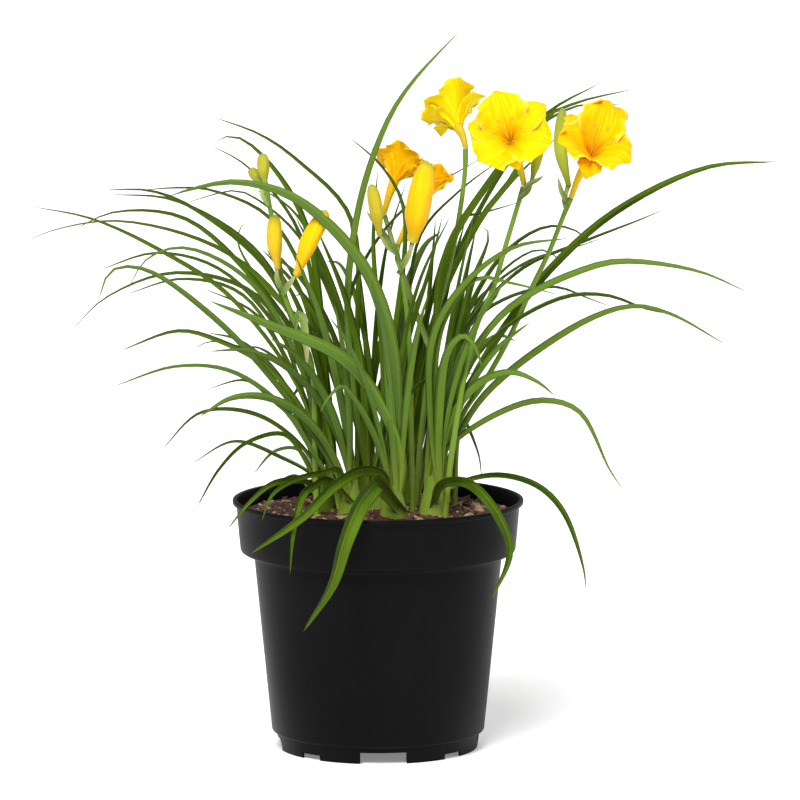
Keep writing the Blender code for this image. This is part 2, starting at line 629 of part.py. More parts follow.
def fill_leaf_options(fan, low, high, rng):
    for _ in range(60):
        heading = math.radians(rng.uniform(low, high))
        length = rng.uniform(170.0, 380.0)
        lean = math.radians(rng.uniform(4.0, 16.0))
        arch = math.radians(rng.uniform(30.0, 105.0))
        line = [root_point(fan, rng.uniform(-1.0, 1.0))]
        tilt = lean
        for i in range(1, 7):
            share = i / 6
            tilt = lean + arch * share ** 1.7
            flat = math.sin(tilt)
            reach = Vector((math.cos(heading) * flat, math.sin(heading) * flat, math.cos(tilt)))
            line.append(line[-1] + reach * (length / 6))
        leaf = make_leaf(fan, rng.uniform(5.0, 8.5), line, rng)
        leaf["hidden"] = True
        if stays_inside(line):
            yield leaf


def stays_inside(line):
    # Hidden leaves keep within the outline that the seen ones draw
    for point in line:
        up = point.z * math.cos(VIEW_TILT) + point.y * math.sin(VIEW_TILT)
        if up > 415.0 or abs(point.x) > 140.0 or up - 250.0 > 1.5 * (180.0 - abs(point.x)):
            return False
        if point.y < -105.0 or point.y > 195.0:
            return False
        if math.hypot(point.x, point.y) > 96.0 and point.z < 215.0:
            return False
    return True


def grow_leaves(neighbours):
    rng = random.Random(SEED)
    leaves = []
    counts = {fan: 0 for fan in FANS}
    ranks = (0.0, 0.8, -0.8, 0.4, -0.4, 1.0, -1.0, 0.6, -0.6, 0.2, -0.2)
    jobs = [(rim_leaf_options, entry) for entry in RIM_LEAVES]
    jobs += [(read_leaf_options, entry) for entry in LEAVES]
    for maker, entry in jobs:
        fan = entry[0]
        rank = ranks[counts[fan] % len(ranks)]
        counts[fan] += 1
        leaf = settle(maker(entry, rank, rng), neighbours)
        if leaf is None:
            print("no clear place for leaf", fan, entry[-1][-1])
            continue
        leaves.append(leaf)
        points, faces = blade_mesh(leaf, leaf_steps(leaf))
        neighbours.add(fan, points, faces)
    for fan, (count, low, high) in FILL.items():
        for _ in range(count):
            leaf = settle(fill_leaf_options(fan, low, high, rng), neighbours)
            if leaf is None:
                print("no clear place for a fill leaf", fan)
                continue
            leaves.append(leaf)
            points, faces = blade_mesh(leaf, leaf_steps(leaf))
            neighbours.add(fan, points, faces)
    return leaves


def sheath_shape(fan):
    right, behind, turn = FANS[fan]
    angle = math.radians(turn)
    levels = [(SHEATH_FOOT, 1.0), (184.0, 1.0), (SHEATH_TOP, 0.5)]
    points = []
    for height, scale in levels:
        for k in range(10):
            around = math.tau * k / 10
            x = SHEATH_LENGTH * scale * math.sin(around)
            y = SHEATH_DEPTH * scale * math.cos(around)
            points.append(Vector((right + x * math.cos(angle) - y * math.sin(angle),
                                  behind + x * math.sin(angle) + y * math.cos(angle), height)))
    return points, ring_faces(len(levels), 10)


def ring_faces(rings, sides):
    faces = []
    for i in range(rings - 1):
        for k in range(sides):
            a = i * sides + k
            b = i * sides + (k + 1) % sides
            faces += [(a, b, b + sides), (a, b + sides, a + sides)]
    faces.append(tuple(range(sides - 1, -1, -1)))
    faces.append(tuple((rings - 1) * sides + k for k in range(sides)))
    return faces


def make_fans(leaves, look):
    for fan in FANS:
        points, faces = sheath_shape(fan)
        mesh = mesh_from(fan, points, faces)
        closed_outward(mesh)
        piece = place("leaf_fan_" + fan, mesh, look)
        blades = []
        for leaf in leaves:
            if leaf["fan"] == fan:
                points, faces = blade_mesh(leaf, leaf_steps(leaf))
                blade = mesh_from("blade", points, faces)
                closed_outward(blade)
                blades.append(place("blade", blade, look))
        boolean_with(piece, blades, 'UNION')
        keep_outer_body(piece)


def tube_shape(path, radii, sides):
    # A round stem or bud: a ring at each point, closing to a point where the radius is nought
    tangents = directions(path)
    across = tangents[0].cross(Vector((0.31, 0.94, 0.12))).normalized()
    points = []
    rows = []
    for centre, tangent, radius in zip(path, tangents, radii):
        across = (across - tangent * across.dot(tangent)).normalized()
        other = tangent.cross(across)
        if radius < 0.01:
            rows.append([len(points)])
            points.append(centre)
            continue
        rows.append([])
        for k in range(sides):
            around = math.tau * k / sides
            rows[-1].append(len(points))
            points.append(centre + (across * math.cos(around) + other * math.sin(around)) * radius)
    faces = []
    for low, high in zip(rows, rows[1:]):
        for k in range(sides):
            n = (k + 1) % sides
            if len(low) == 1:
                faces.append((low[0], high[n], high[k]))
            elif len(high) == 1:
                faces.append((low[k], low[n], high[0]))
            else:
                faces += [(low[k], low[n], high[n]), (low[k], high[n], high[k])]
    if len(rows[0]) > 1:
        faces.append(tuple(reversed(rows[0])))
    if len(rows[-1]) > 1:
        faces.append(tuple(rows[-1]))
    return points, faces


def sheet_shape(rows, thickness):
    # A petal: a grid of points with its edges closed and its middle given thickness
    count, wide = len(rows), len(rows[0])
    points = []
    top = {}
    low = {}
    for i in range(count):
        for j in range(wide):
            edge = i in (0, count - 1) or j in (0, wide - 1)
            if edge:
                top[i, j] = low[i, j] = len(points)
                points.append(rows[i][j])
                continue
            normal = (rows[i + 1][j] - rows[i - 1][j]).cross(rows[i][j + 1] - rows[i][j - 1]).normalized()
            top[i, j] = len(points)
            points.append(rows[i][j] + normal * (thickness / 2))
            low[i, j] = len(points)
            points.append(rows[i][j] - normal * (thickness / 2))
    faces = []
    for i in range(count - 1):
        for j in range(wide - 1):
            corner = ((i, j), (i + 1, j), (i + 1, j + 1), (i, j + 1))
            if j >= (wide - 1) // 2:
                order = (0, 1, 2, 3)
            else:
                order = (1, 2, 3, 0)
            a, b, c, d = [corner[k] for k in order]
            faces += [(top[a], top[b], top[c]), (top[a], top[c], top[d])]
            faces += [(low[a], low[c], low[b]), (low[a], low[d], low[c])]
    return points, faces


def stem_path(scape):
    stem = [from_view(*point) for point in scape["stem"]]
    path, _ = curve_through(stem, 8)
    return path


def branch_path(branch):
    path, _ = curve_through([from_view(*point) for point in branch], 3)
    return path


def scape_shapes(scape):
    shapes = [tube_shape(stem_path(scape), [2.3 - 0.07 * i for i in range(9)], 6)]
    for branch in scape["branches"]:
        shapes.append(tube_shape(branch_path(branch), [1.5, 1.6, 1.6, 1.8], 5))
    for points, width in scape["bracts"]:
        line = [from_view(*point) for point in points]
        leaf = {"line": line, "width": width, "hand": 1.0, "shows": 1.0, "roll": math.radians(20.0),
                "twist": 0.0, "toward": Vector((0.0, -1.0, 0.0))}
        shapes.append(blade_mesh(leaf, 4))
    return shapes


def seat_on(stalk, branch):
    # Where a bud or bloom starts: just off the end of its stalk or branch, and the way that end points
    scape = SCAPES[stalk]
    path = stem_path(scape) if branch is None else branch_path(scape["branches"][branch])
    along = (path[-1] - path[-2]).normalized()
    return path[-1] + along * GAP, along


def seated_path(stalk, branch, points, steps):
    foot, along = seat_on(stalk, branch)
    neck = foot + along * 1.2
    path, _ = curve_through([neck] + [from_view(*point) for point in points], steps)
    return [foot] + path


def bud_shape(bud):
    stalk, branch, points, radius = bud
    path = seated_path(stalk, branch, points, 6)
    swell = [0.4, 0.44, 0.64, 0.88, 1.0, 0.96, 0.64, 0.0]
    return tube_shape(path, [max(radius * share, 1.5) if share else 0.0 for share in swell], 6)


def petal_rows(axis, around, throat, wide, spread, opening, ruffle, phase, columns):
    # The middle line leaves the throat along the axis, bends outward and curls back at its end
    rows = []
    tangential = axis.cross(around).normalized()
    for i in range(5):
        share = i / 4
        bend = math.radians(18.0 + (72.0 * opening) * share + 14.0 * opening * share ** 3)
        if i == 0:
            centre = throat - axis * 4.0 + around * 2.4
        else:
            length = spread * 1.12 / 4
            centre = centre + (axis * math.cos(bend) + around * math.sin(bend)) * length
        face = (axis * math.sin(bend) - around * math.cos(bend)).normalized()
        breadth = wide * (0.22, 0.62, 0.96, 1.0, 0.42)[i]
        row = []
        for j in range(columns):
            at = -1.0 + 2.0 * j / (columns - 1)
            wave = ruffle * share * math.sin(phase + 5.0 * share + 2.2 * at) * abs(at)
            cup = 0.16 * breadth * (1.0 - share) * at * at
            row.append(centre + tangential * (at * breadth / 2) + face * (wave + cup))
        rows.append(row)
    return rows


def bloom_shapes(bloom, rng):
    stalk, branch, points, facing, turn, spread, opening = bloom
    axis = (from_view(*facing) - from_view(0.0, 0.0, 0.0)).normalized()
    throat = from_view(*points[-1])
    path = seated_path(stalk, branch, points, 3)
    shapes = [tube_shape(path, [2.1, 2.2, 2.8, 3.8, 5.0], 7)]
    reference = Vector((1.0, 0.0, 0.0))
    across = (reference - axis * reference.dot(axis)).normalized()
    upward = across.cross(axis) if across.cross(axis).z > 0 else axis.cross(across)
    fullness = 1.0 if opening > 0.9 else 0.68
    for k in range(6):
        angle = math.radians(turn + 60.0 * k)
        around = (across * math.cos(angle) + upward * math.sin(angle)).normalized()
        broad = k % 2 == 0
        foot = throat + axis * (1.5 if broad else -0.5)
        wide = (31.0 if broad else 17.0) * fullness
        rows = petal_rows(axis, around, foot, wide, spread * rng.uniform(0.94, 1.06),
                          opening * rng.uniform(0.92, 1.08), 1.8 if broad else 0.8,
                          rng.uniform(0.0, 6.0), 5 if broad and opening > 0.9 else 3)
        shapes.append(sheet_shape(rows, 0.9))
    for k in range(7):
        angle = math.radians(turn + 30.0 + 60.0 * k)
        around = (across * math.cos(angle) + upward * math.sin(angle)).normalized()
        reach = 30.0 if k < 6 else 37.0
        flare = 9.0 if k < 6 else 1.5
        base = throat + axis * -1.0 + around * 1.2
        stamen = [base, base + axis * (reach * 0.55) + around * (flare * 0.5),
                  base + axis * (reach * 0.86) + around * flare, base + axis * reach + around * (flare * 1.1)]
        radii = [0.6, 0.5, 0.45, 0.0] if k == 6 else [0.6, 0.5, 1.2, 0.0]
        shapes.append(tube_shape(stamen, radii, 4))
    return shapes


def fused(name, shapes, look):
    pieces = []
    for points, faces in shapes:
        mesh = mesh_from(name, points, faces)
        closed_outward(mesh)
        pieces.append(place(name if not pieces else "part", mesh, look))
    if len(pieces) > 1:
        boolean_with(pieces[0], pieces[1:], 'UNION')
        keep_outer_body(pieces[0])
    return pieces[0]


def triangles_of(piece):
    mesh = piece.data
    mesh.calc_loop_triangles()
    points = [vert.co / MM for vert in mesh.vertices]
    return points, [tuple(triangle.vertices) for triangle in mesh.loop_triangles]


def clear_scene():
    for old in list(bpy.data.objects):
        bpy.data.objects.remove(old)


def main():
    clear_scene()
    plastic = material("pot_plastic", (0.012, 0.012, 0.013), 0.42)
    bark = material("bark_soil", (0.10, 0.045, 0.025), 0.9)
    green = material("leaf_green", (0.10, 0.22, 0.03), 0.5)
    stem_green = material("stem_green", (0.22, 0.36, 0.05), 0.5)
    bud_yellow = material("bud_yellow", (0.80, 0.52, 0.02), 0.5)
    petal_yellow = material("petal_yellow", (0.90, 0.68, 0.03), 0.5)
    neighbours = Neighbours()
    neighbours.add("pot", *triangles_of(make_pot(plastic)))
    neighbours.add("soil", *triangles_of(make_soil(bark)))
    for name, scape in SCAPES.items():
        neighbours.add(name, *triangles_of(fused(name, scape_shapes(scape), stem_green)))
    for name, bud in BUDS.items():
        neighbours.add(name, *triangles_of(fused(name, [bud_shape(bud)], bud_yellow)))
    rng = random.Random(SEED + 1)
    for name, bloom in BLOOMS.items():
        neighbours.add(name, *triangles_of(fused(name, bloom_shapes(bloom, rng), petal_yellow)))
    for name in neighbours.trees:
        for other in neighbours.trees:
            if name < other and neighbours.trees[name][0].overlap(neighbours.trees[other][0]):
                print("these touch:", name, other)
    leaves = grow_leaves(neighbours)
    print("leaves", len(leaves))
    make_fans(leaves, green)


main()
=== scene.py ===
import math
import random

import bmesh
import bpy
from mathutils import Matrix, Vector, noise
from mathutils.bvhtree import BVHTree


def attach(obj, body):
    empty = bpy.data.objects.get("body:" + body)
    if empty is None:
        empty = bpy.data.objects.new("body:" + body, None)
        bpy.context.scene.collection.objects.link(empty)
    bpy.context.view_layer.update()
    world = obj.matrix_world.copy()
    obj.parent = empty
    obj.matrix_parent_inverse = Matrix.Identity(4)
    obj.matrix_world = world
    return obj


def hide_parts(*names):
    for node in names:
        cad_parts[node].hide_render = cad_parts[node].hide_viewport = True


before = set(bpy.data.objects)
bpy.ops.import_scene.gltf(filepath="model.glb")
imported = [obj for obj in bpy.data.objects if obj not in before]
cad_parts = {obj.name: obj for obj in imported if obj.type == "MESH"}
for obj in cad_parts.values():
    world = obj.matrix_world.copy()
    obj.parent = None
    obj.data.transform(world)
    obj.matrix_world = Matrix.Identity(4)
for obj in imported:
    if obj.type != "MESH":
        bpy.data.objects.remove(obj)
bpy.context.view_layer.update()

mm = 0.001
seed = 41
gap = 0.35
viewTilt = math.radians(8.0)
bladeThickness = 0.7  # of the solid leaves, used only to find each leaf's place again

# Crowns: the oval that each fan's leaves grow from, and the height where their lines start
sheath = {"foot": 160.0, "top": 204.0, "length": 12.0, "depth": 5.6, "root": 186.0}

# Leaf fans: crown on the soil (right, behind) and the turn of its long side
fans = {
    "left": (-40.0, -4.0, 60.0),
    "front_left": (-20.0, -24.0, 10.0),
    "front": (12.0, -34.0, 8.0),
    "front_right": (40.0, -20.0, -35.0),
    "right": (44.0, 10.0, 80.0),
    "back_right": (22.0, 30.0, 10.0),
    "back": (-8.0, 32.0, -5.0),
    "back_left": (-36.0, 22.0, -30.0),
    "middle": (0.0, 0.0, 15.0),
}

leafLines = [
    ("middle", 7, -15, [(-15, 240), (-24, 330), (-20, 381), (-9, 431), (9, 476), (26, 501), (64, 541)]),
    ("front", 12, -50, [(15, 230), (12, 308), (-11, 366), (-60, 413), (-104, 425), (-139, 419), (-156, 413)]),
    ("front", 13, -74, [(19, 217), (4, 260), (-26, 296), (-80, 319), (-125, 336)]),
    ("right", 8, 14, [(52, 235), (71, 280), (100, 326), (135, 368), (180, 406), (248, 438), (303, 442)]),
    ("front_right", 7, -26, [(50, 245), (65, 290), (100, 334), (160, 363), (185, 367), (240, 359), (279, 342)]),
    ("right", 7, -6, [(52, 215), (72, 257), (100, 286), (160, 325), (193, 334), (220, 328), (264, 303)]),
    ("right", 8, 24, [(42, 300), (50, 372), (80, 423), (126, 478), (169, 502)]),
    ("front_right", 6, -30, [(47, 221), (80, 248), (121, 263), (151, 255), (175, 209), (186, 193)]),
    ("front_right", 9, -46, [(48, 235), (60, 261), (80, 279), (100, 284), (120, 276), (133, 265)]),
    ("front_right", 6, -58, [(53, 197), (88, 207), (120, 199), (140, 179), (155, 136), (157, 118)]),
    ("front_right", 7, -52, [(38, 250), (40, 308), (60, 345), (100, 376), (143, 383)]),
    ("front_right", 5, -66, [(40, 270), (50, 325), (75, 354), (100, 350), (138, 340)]),
    ("front_right", 9, -60, [(44, 240), (52, 300), (64, 311), (73, 302), (78, 285)]),
    ("front_right", 9, 2, [(52, 270), (68, 345), (83, 388), (77, 394)]),
    ("right", 5, 34, [(60, 310), (85, 362), (110, 386), (130, 394), (148, 391), (164, 379)]),
    ("right", 4, 44, [(64, 280), (90, 314), (140, 341), (173, 342), (204, 331), (231, 326)]),
    ("right", 4, 58, [(55, 200), (58, 240), (64, 250), (77, 223), (80, 201)]),
    ("back_right", 4, 70, [(60, 300), (90, 357), (120, 377), (133, 374), (144, 363)]),
    ("back_right", 4, 84, [(56, 300), (84, 334), (133, 350), (164, 340), (183, 333)]),
    ("back_right", 4, 48, [(60, 310), (107, 362), (155, 383), (200, 400), (219, 408)]),
    ("back_right", 4, 98, [(60, 320), (110, 367), (155, 381), (175, 388)]),
    ("back_right", 6, 64, [(40, 320), (77, 400), (101, 431), (126, 476), (150, 488), (196, 499)]),
    ("back_right", 5, 80, [(36, 300), (70, 396), (118, 468), (148, 487), (168, 490), (190, 489)]),
    ("back_right", 5, 56, [(30, 300), (63, 400), (80, 405), (112, 414)]),
    ("back_right", 5, 92, [(30, 310), (62, 380), (100, 428), (141, 468)]),
    ("back_right", 4, 40, [(20, 260), (30, 385), (60, 420), (95, 446)]),
    ("middle", 4, 30, [(-18, 260), (-24, 334), (-8, 374), (23, 411), (82, 448)]),
    ("middle", 5, 16, [(12, 300), (20, 406), (4, 437), (-24, 462)]),
    ("middle", 5, -8, [(4, 300), (-3, 380), (0, 438)]),
    ("front", 5, -28, [(14, 280), (30, 350), (55, 402)]),
    ("right", 5, 0, [(48, 280), (60, 350), (72, 401)]),
    ("front", 6, -46, [(0, 232), (-16, 262), (-27, 273), (-38, 262), (-43, 252)]),
    ("front", 5, -36, [(18, 260), (34, 277), (52, 281), (75, 283)]),
    ("front_left", 4, -44, [(-36, 240), (-66, 330), (-114, 375), (-190, 397), (-240, 391), (-270, 379)]),
    ("front_left", 6, -66, [(-40, 225), (-73, 272), (-120, 323), (-174, 360), (-197, 358), (-207, 333)]),
    ("front_left", 5, -54, [(-44, 236), (-80, 286), (-120, 308), (-150, 315), (-196, 299)]),
    ("front_left", 5, -84, [(-40, 212), (-69, 257), (-109, 285), (-150, 288), (-197, 272)]),
    ("front_left", 9, -40, [(-36, 235), (-43, 272), (-50, 279), (-60, 272), (-66, 262)]),
    ("left", 5, 0, [(-50, 270), (-80, 358), (-140, 408), (-171, 420), (-211, 420)]),
    ("left", 4, 16, [(-52, 280), (-84, 368), (-150, 412), (-203, 417)]),
    ("left", 4, -20, [(-54, 262), (-109, 340), (-160, 374), (-215, 399), (-262, 408)]),
    ("left", 5, -34, [(-54, 280), (-95, 352), (-145, 377), (-173, 368), (-189, 341)]),
    ("left", 4, 6, [(-56, 270), (-89, 341), (-152, 360), (-208, 340), (-236, 312)]),
    ("left", 4, 30, [(-50, 250), (-90, 326), (-134, 348)]),
    ("left", 3, -44, [(-56, 240), (-84, 292), (-125, 307), (-142, 300)]),
    ("left", 4, -14, [(-50, 210), (-70, 238), (-100, 231), (-120, 211), (-137, 181)]),
    ("left", 4, 24, [(-50, 220), (-89, 252), (-134, 254), (-166, 223)]),
    ("left", 3, 44, [(-48, 194), (-62, 206), (-79, 198), (-84, 190)]),
    ("back_left", 7, 34, [(-40, 300), (-56, 400), (-92, 452), (-111, 462), (-124, 457)]),
    ("back_left", 5, 76, [(-42, 300), (-60, 392), (-100, 441), (-130, 458)]),
    ("back_left", 4, 52, [(-44, 320), (-80, 400), (-127, 423), (-152, 425), (-184, 423)]),
    ("back_left", 5, 42, [(-50, 290), (-100, 362), (-147, 401), (-200, 405), (-232, 391)]),
    ("back_left", 4, 70, [(-54, 280), (-114, 359), (-167, 375), (-215, 361)]),
    ("back_left", 4, 92, [(-54, 260), (-102, 343), (-150, 356), (-197, 343)]),
    ("back_left", 4, 110, [(-50, 250), (-63, 280), (-92, 303), (-109, 301)]),
    ("back_left", 4, 78, [(-50, 235), (-79, 263), (-100, 278), (-132, 270)]),
    ("back_left", 3, 62, [(-48, 205), (-73, 220), (-109, 232), (-144, 213)]),
    ("back_left", 3, 98, [(-46, 205), (-62, 226), (-80, 224), (-98, 204)]),
    ("back", 5, 62, [(-14, 300), (-20, 401), (-60, 444), (-89, 464), (-127, 478)]),
    ("back", 5, 92, [(-20, 280), (-95, 360), (-108, 388), (-100, 401)]),
    ("back", 4, 78, [(-18, 300), (-56, 396), (-80, 418), (-99, 422)]),
    ("back", 5, 46, [(-4, 300), (6, 380), (22, 430)]),
    ("middle", 4, 24, [(-20, 300), (-60, 388), (-100, 420), (-111, 422), (-152, 411)]),
    ("back_right", 6, 36, [(34, 300), (40, 360), (44, 403)]),
    ("middle", 6, 10, [(20, 300), (38, 360), (49, 403)]),
    ("right", 8, 22, [(50, 280), (62, 340), (74, 392)]),
    ("back_right", 8, 48, [(36, 280), (52, 350), (66, 398)]),
    ("front_left", 8, -22, [(-30, 280), (-44, 330), (-62, 372)]),
    ("left", 7, -8, [(-46, 260), (-62, 320), (-84, 366)]),
    ("middle", 8, 0, [(-10, 280), (-24, 340), (-46, 392)]),
    ("back", 8, 40, [(-16, 280), (-36, 350), (-64, 404)]),
    ("back_left", 7, 50, [(-40, 270), (-58, 330), (-86, 380)]),
    ("front", 8, -30, [(10, 260), (4, 320), (-14, 366)]),
    ("front_left", 7, -34, [(-20, 240), (-24, 290), (-32, 334)]),
]

rimLines = [
    ("front_left", 6, [(-29, 210, -32), (-41, 209, -48), (-64, 203, -70), (-80, 190, -96), (-86, 172, -104)]),
    ("left", 5, [(-49, 199, -26), (-62, 203, -50), (-80, 200, -74), (-96, 186, -88), (-112, 166, -92)]),
    ("front", 10, [(6, 206, -44), (-11, 211, -66), (-32, 200, -94), (-56, 176, -116), (-95, 148, -112)]),
    ("front_left", 7, [(-36, 203, -44), (-48, 199, -70), (-57, 190, -96), (-63, 162, -114), (-65, 132, -112)]),
    ("front", 16, [(1, 200, -58), (-6, 196, -88), (-16, 182, -114), (-26, 156, -126), (-34, 127, -126),
                   (-55, 91, -122)]),
    ("front_right", 10, [(46, 199, -40), (62, 203, -66), (76, 196, -88), (92, 174, -100), (99, 148, -92),
                         (84, 112, -90)]),
]

fillLeaves = {
    "left": (1, 150, 215),
    "front_left": (3, 200, 300),
    "front": (4, 230, 310),
    "front_right": (3, 270, 340),
    "right": (2, 10, 70),
    "back_right": (4, 35, 100),
    "back": (7, 60, 125),
    "back_left": (4, 95, 150),
    "middle": (4, 20, 160),
}

scapes = {
    "scape_left": {
        "stem": [(-46, 165, -26), (-47, 220, -27), (-50, 290, -28), (-60, 316, -28), (-70, 342, -28),
                 (-75, 375, -24), (-80, 402, -20), (-84, 424, -20)],
        "branches": [[(-71, 346, -27), (-75, 354, -31), (-75, 361, -34)],
                     [(-70, 343, -28), (-66, 349, -33), (-61, 356, -37)],
                     [(-82, 410, -20), (-86, 418, -16), (-88, 424, -14)]],
        "bracts": [([(-61, 318, -30), (-58, 328, -35), (-54, 304, -38), (-53, 287, -38)], 8)],
    },
    "scape_middle": {
        "stem": [(26, 165, -12), (25, 235, -12), (24, 300, -12), (20, 343, -12), (15, 370, -12),
                 (11, 379, -14)],
        "branches": [[(13, 374, -13), (5, 382, -16), (2, 386, -18)],
                     [(17, 360, -12), (23, 370, -17), (26, 381, -20)],
                     [(17, 362, -12), (15, 372, -4), (15, 378, 2)]],
        "bracts": [([(12, 377, -13), (5, 388, -9), (-4, 398, -8), (-9, 405, -9)], 5)],
    },
    "scape_tall": {
        "stem": [(28, 165, 12), (32, 230, 13), (45, 330, 16), (55, 368, 19), (63, 412, 24), (66, 440, 28),
                 (66, 452, 30)],
        "branches": [[(40, 300, 15), (22, 350, 26), (8, 392, 30), (5, 402, 30)]],
        "bracts": [],
    },
    "scape_front": {
        "stem": [(50, 165, -34), (55, 220, -35), (73, 315, -34), (86, 345, -32), (96, 379, -28),
                 (106, 412, -24), (109, 422, -23)],
        "branches": [[(107, 414, -24), (113, 420, -22), (115, 426, -21)]],
        "bracts": [([(108, 418, -24), (114, 424, -27), (120, 427, -28), (124, 430, -28)], 5)],
    },
    "scape_right": {
        "stem": [(57, 162, 27), (58, 188, 27), (63, 248, 24), (80, 275, 18), (100, 311, 12), (116, 347, 8),
                 (129, 374, 5), (140, 402, 2), (145, 414, 0)],
        "branches": [[(142, 406, 1), (141, 416, 6), (143, 423, 9)]],
        "bracts": [([(143, 410, 1), (138, 420, -4), (135, 430, -5)], 5)],
    },
}

buds = {
    "bud_left_upright": ("scape_left", 0, [(-77, 383, -36), (-77, 401, -36)], 5.4),
    "bud_left_slanted": ("scape_left", 1, [(-50, 382, -42), (-38, 404, -44)], 6.3),
    "bud_top_large": ("scape_left", None, [(-85.5, 437, -20), (-86, 447, -20)], 4.3),
    "bud_top_small": ("scape_left", 2, [(-92, 431, -12), (-96, 436, -12)], 3.6),
    "bud_green": ("scape_middle", 0, [(-1, 405, -22), (-5, 424, -24)], 4.8),
    "bud_large": ("scape_middle", 1, [(31, 408, -26), (37, 441, -30)], 8.6),
    "bud_narrow": ("scape_front", 0, [(119, 441, -14), (123, 455, -10)], 3.4),
    "bud_long": ("scape_right", 0, [(138, 452, 20), (139, 483, 24)], 4.6),
}

blooms = {
    "bloom_front": ("scape_front", None, [(106, 438, -24), (99, 455, -34)], (-0.12, 0.30, -0.95), 100, 40, 1.0),
    "bloom_right": ("scape_right", None, [(151, 430, -2), (160, 446, -8)], (0.25, 0.62, -0.74), 80, 38, 1.0),
    "bloom_behind": ("scape_tall", None, [(64, 462, 35), (60, 470, 42)], (-0.35, 0.72, 0.55), 70, 34, 0.85),
    "bloom_turned": ("scape_tall", 0, [(8, 416, 33), (13, 430, 38)], (0.30, 0.76, 0.56), 90, 31, 0.75),
    "bloom_half_open": ("scape_middle", 2, [(24, 398, 6), (36, 418, 8)], (0.42, 0.88, 0.1), 90, 28, 0.35),
}


def fromView(right, up, behind):
    rise = (up - behind * math.sin(viewTilt)) / math.cos(viewTilt)
    return Vector((right, behind, rise))


# The leaves' lines, bent clear of each other as in the solids

def curveThrough(points, steps):
    ends = [points[0] * 2 - points[1]] + list(points) + [points[-1] * 2 - points[-2]]
    dense = []
    for i in range(1, len(ends) - 2):
        p0, p1, p2, p3 = ends[i - 1:i + 3]
        t1 = max((p1 - p0).length, 1e-6) ** 0.5
        t2 = t1 + max((p2 - p1).length, 1e-6) ** 0.5
        t3 = t2 + max((p3 - p2).length, 1e-6) ** 0.5
        for j in range(10):
            t = t1 + (t2 - t1) * j / 10
            a1 = p0 * ((t1 - t) / t1) + p1 * (t / t1)
            a2 = p1 * ((t2 - t) / (t2 - t1)) + p2 * ((t - t1) / (t2 - t1))
            a3 = p2 * ((t3 - t) / (t3 - t2)) + p3 * ((t - t2) / (t3 - t2))
            b1 = a1 * ((t2 - t) / t2) + a2 * (t / t2)
            b2 = a2 * ((t3 - t) / (t3 - t1)) + a3 * ((t - t1) / (t3 - t1))
            dense.append(b1 * ((t2 - t) / (t2 - t1)) + b2 * ((t - t1) / (t2 - t1)))
    dense.append(points[-1].copy())
    lengths = [0.0]
    for i in range(1, len(dense)):
        lengths.append(lengths[-1] + (dense[i] - dense[i - 1]).length)
    result = []
    at = 0
    for k in range(steps + 1):
        want = lengths[-1] * k / steps
        while at < len(dense) - 2 and lengths[at + 1] < want:
            at += 1
        share = (want - lengths[at]) / max(lengths[at + 1] - lengths[at], 1e-9)
        result.append(dense[at].lerp(dense[at + 1], min(max(share, 0.0), 1.0)))
    return result, lengths[-1]


def directions(path):
    result = []
    for i in range(len(path)):
        result.append((path[min(i + 1, len(path) - 1)] - path[max(i - 1, 0)]).normalized())
    return result


def leafNormal(leaf, tangent, share):
    toward = leaf["toward"]
    across = (toward - tangent * toward.dot(tangent)).normalized()
    arch = across.cross(tangent) * leaf["hand"]
    roll = leaf["roll"] + leaf["twist"] * (share - 0.4)
    return (arch * math.sin(roll) + across * math.cos(roll) * leaf["shows"]).normalized()


def bladeWidth(share, width):
    swell = 0.72 + 0.28 * math.sin(math.pi * min(share / 0.9, 1.0))
    return width * swell * max(1.0 - share ** 4.2, 0.0) ** 0.75


def solidBlade(leaf, steps, grow=0.0):
    path, _ = curveThrough(leaf["line"], steps)
    tangents = directions(path)
    points = []
    for i in range(steps):
        share = i / steps
        upper = leafNormal(leaf, tangents[i], share)
        side = tangents[i].cross(upper).normalized()
        half = bladeWidth(share, leaf["width"]) / 2 + grow
        fold = math.radians(38.0 - 26.0 * share)
        lift = upper * (half * math.sin(fold))
        reach = side * (half * math.cos(fold))
        keel = upper * (bladeThickness / 2 + grow)
        points += [path[i] - reach + lift, path[i] + keel, path[i] + reach + lift, path[i] - keel]
    points.append(path[-1] + tangents[-1] * grow)
    faces = [(0, 1, 3), (1, 2, 3)]
    for i in range(steps - 1):
        a = 4 * i
        b = a + 4
        faces += [(a, b + 1, a + 1), (a, b, b + 1), (a + 1, b + 1, a + 2), (b + 1, b + 2, a + 2)]
        faces += [(a, a + 3, b + 3), (a, b + 3, b), (a + 3, a + 2, b + 3), (b + 3, a + 2, b + 2)]
    last = 4 * (steps - 1)
    tip = 4 * steps
    faces += [(last, tip, last + 1), (last + 1, tip, last + 2), (last + 2, tip, last + 3), (last + 3, tip, last)]
    return points, faces


def rootPoint(fan, rank):
    right, behind, turn = fans[fan]
    angle = math.radians(turn)
    offset = (sheath["length"] - 4.5) * rank
    return Vector((right + offset * math.cos(angle), behind + offset * math.sin(angle), sheath["root"]))


def depthLine(fan, rank, flatPoints, tipDepth, bend):
    root = rootPoint(fan, rank)
    rootUp = root.z * math.cos(viewTilt) + root.y * math.sin(viewTilt)
    flat = [Vector((root.x, rootUp, 0.0))] + [Vector((right, up, 0.0)) for right, up in flatPoints]
    run = [0.0]
    for i in range(1, len(flat)):
        run.append(run[-1] + (flat[i] - flat[i - 1]).length)
    line = []
    for point, gone in zip(flat, run):
        behind = root.y + (tipDepth - root.y) * (gone / run[-1]) ** bend
        line.append(fromView(point.x, point.y, behind))
    line[0] = root
    return line


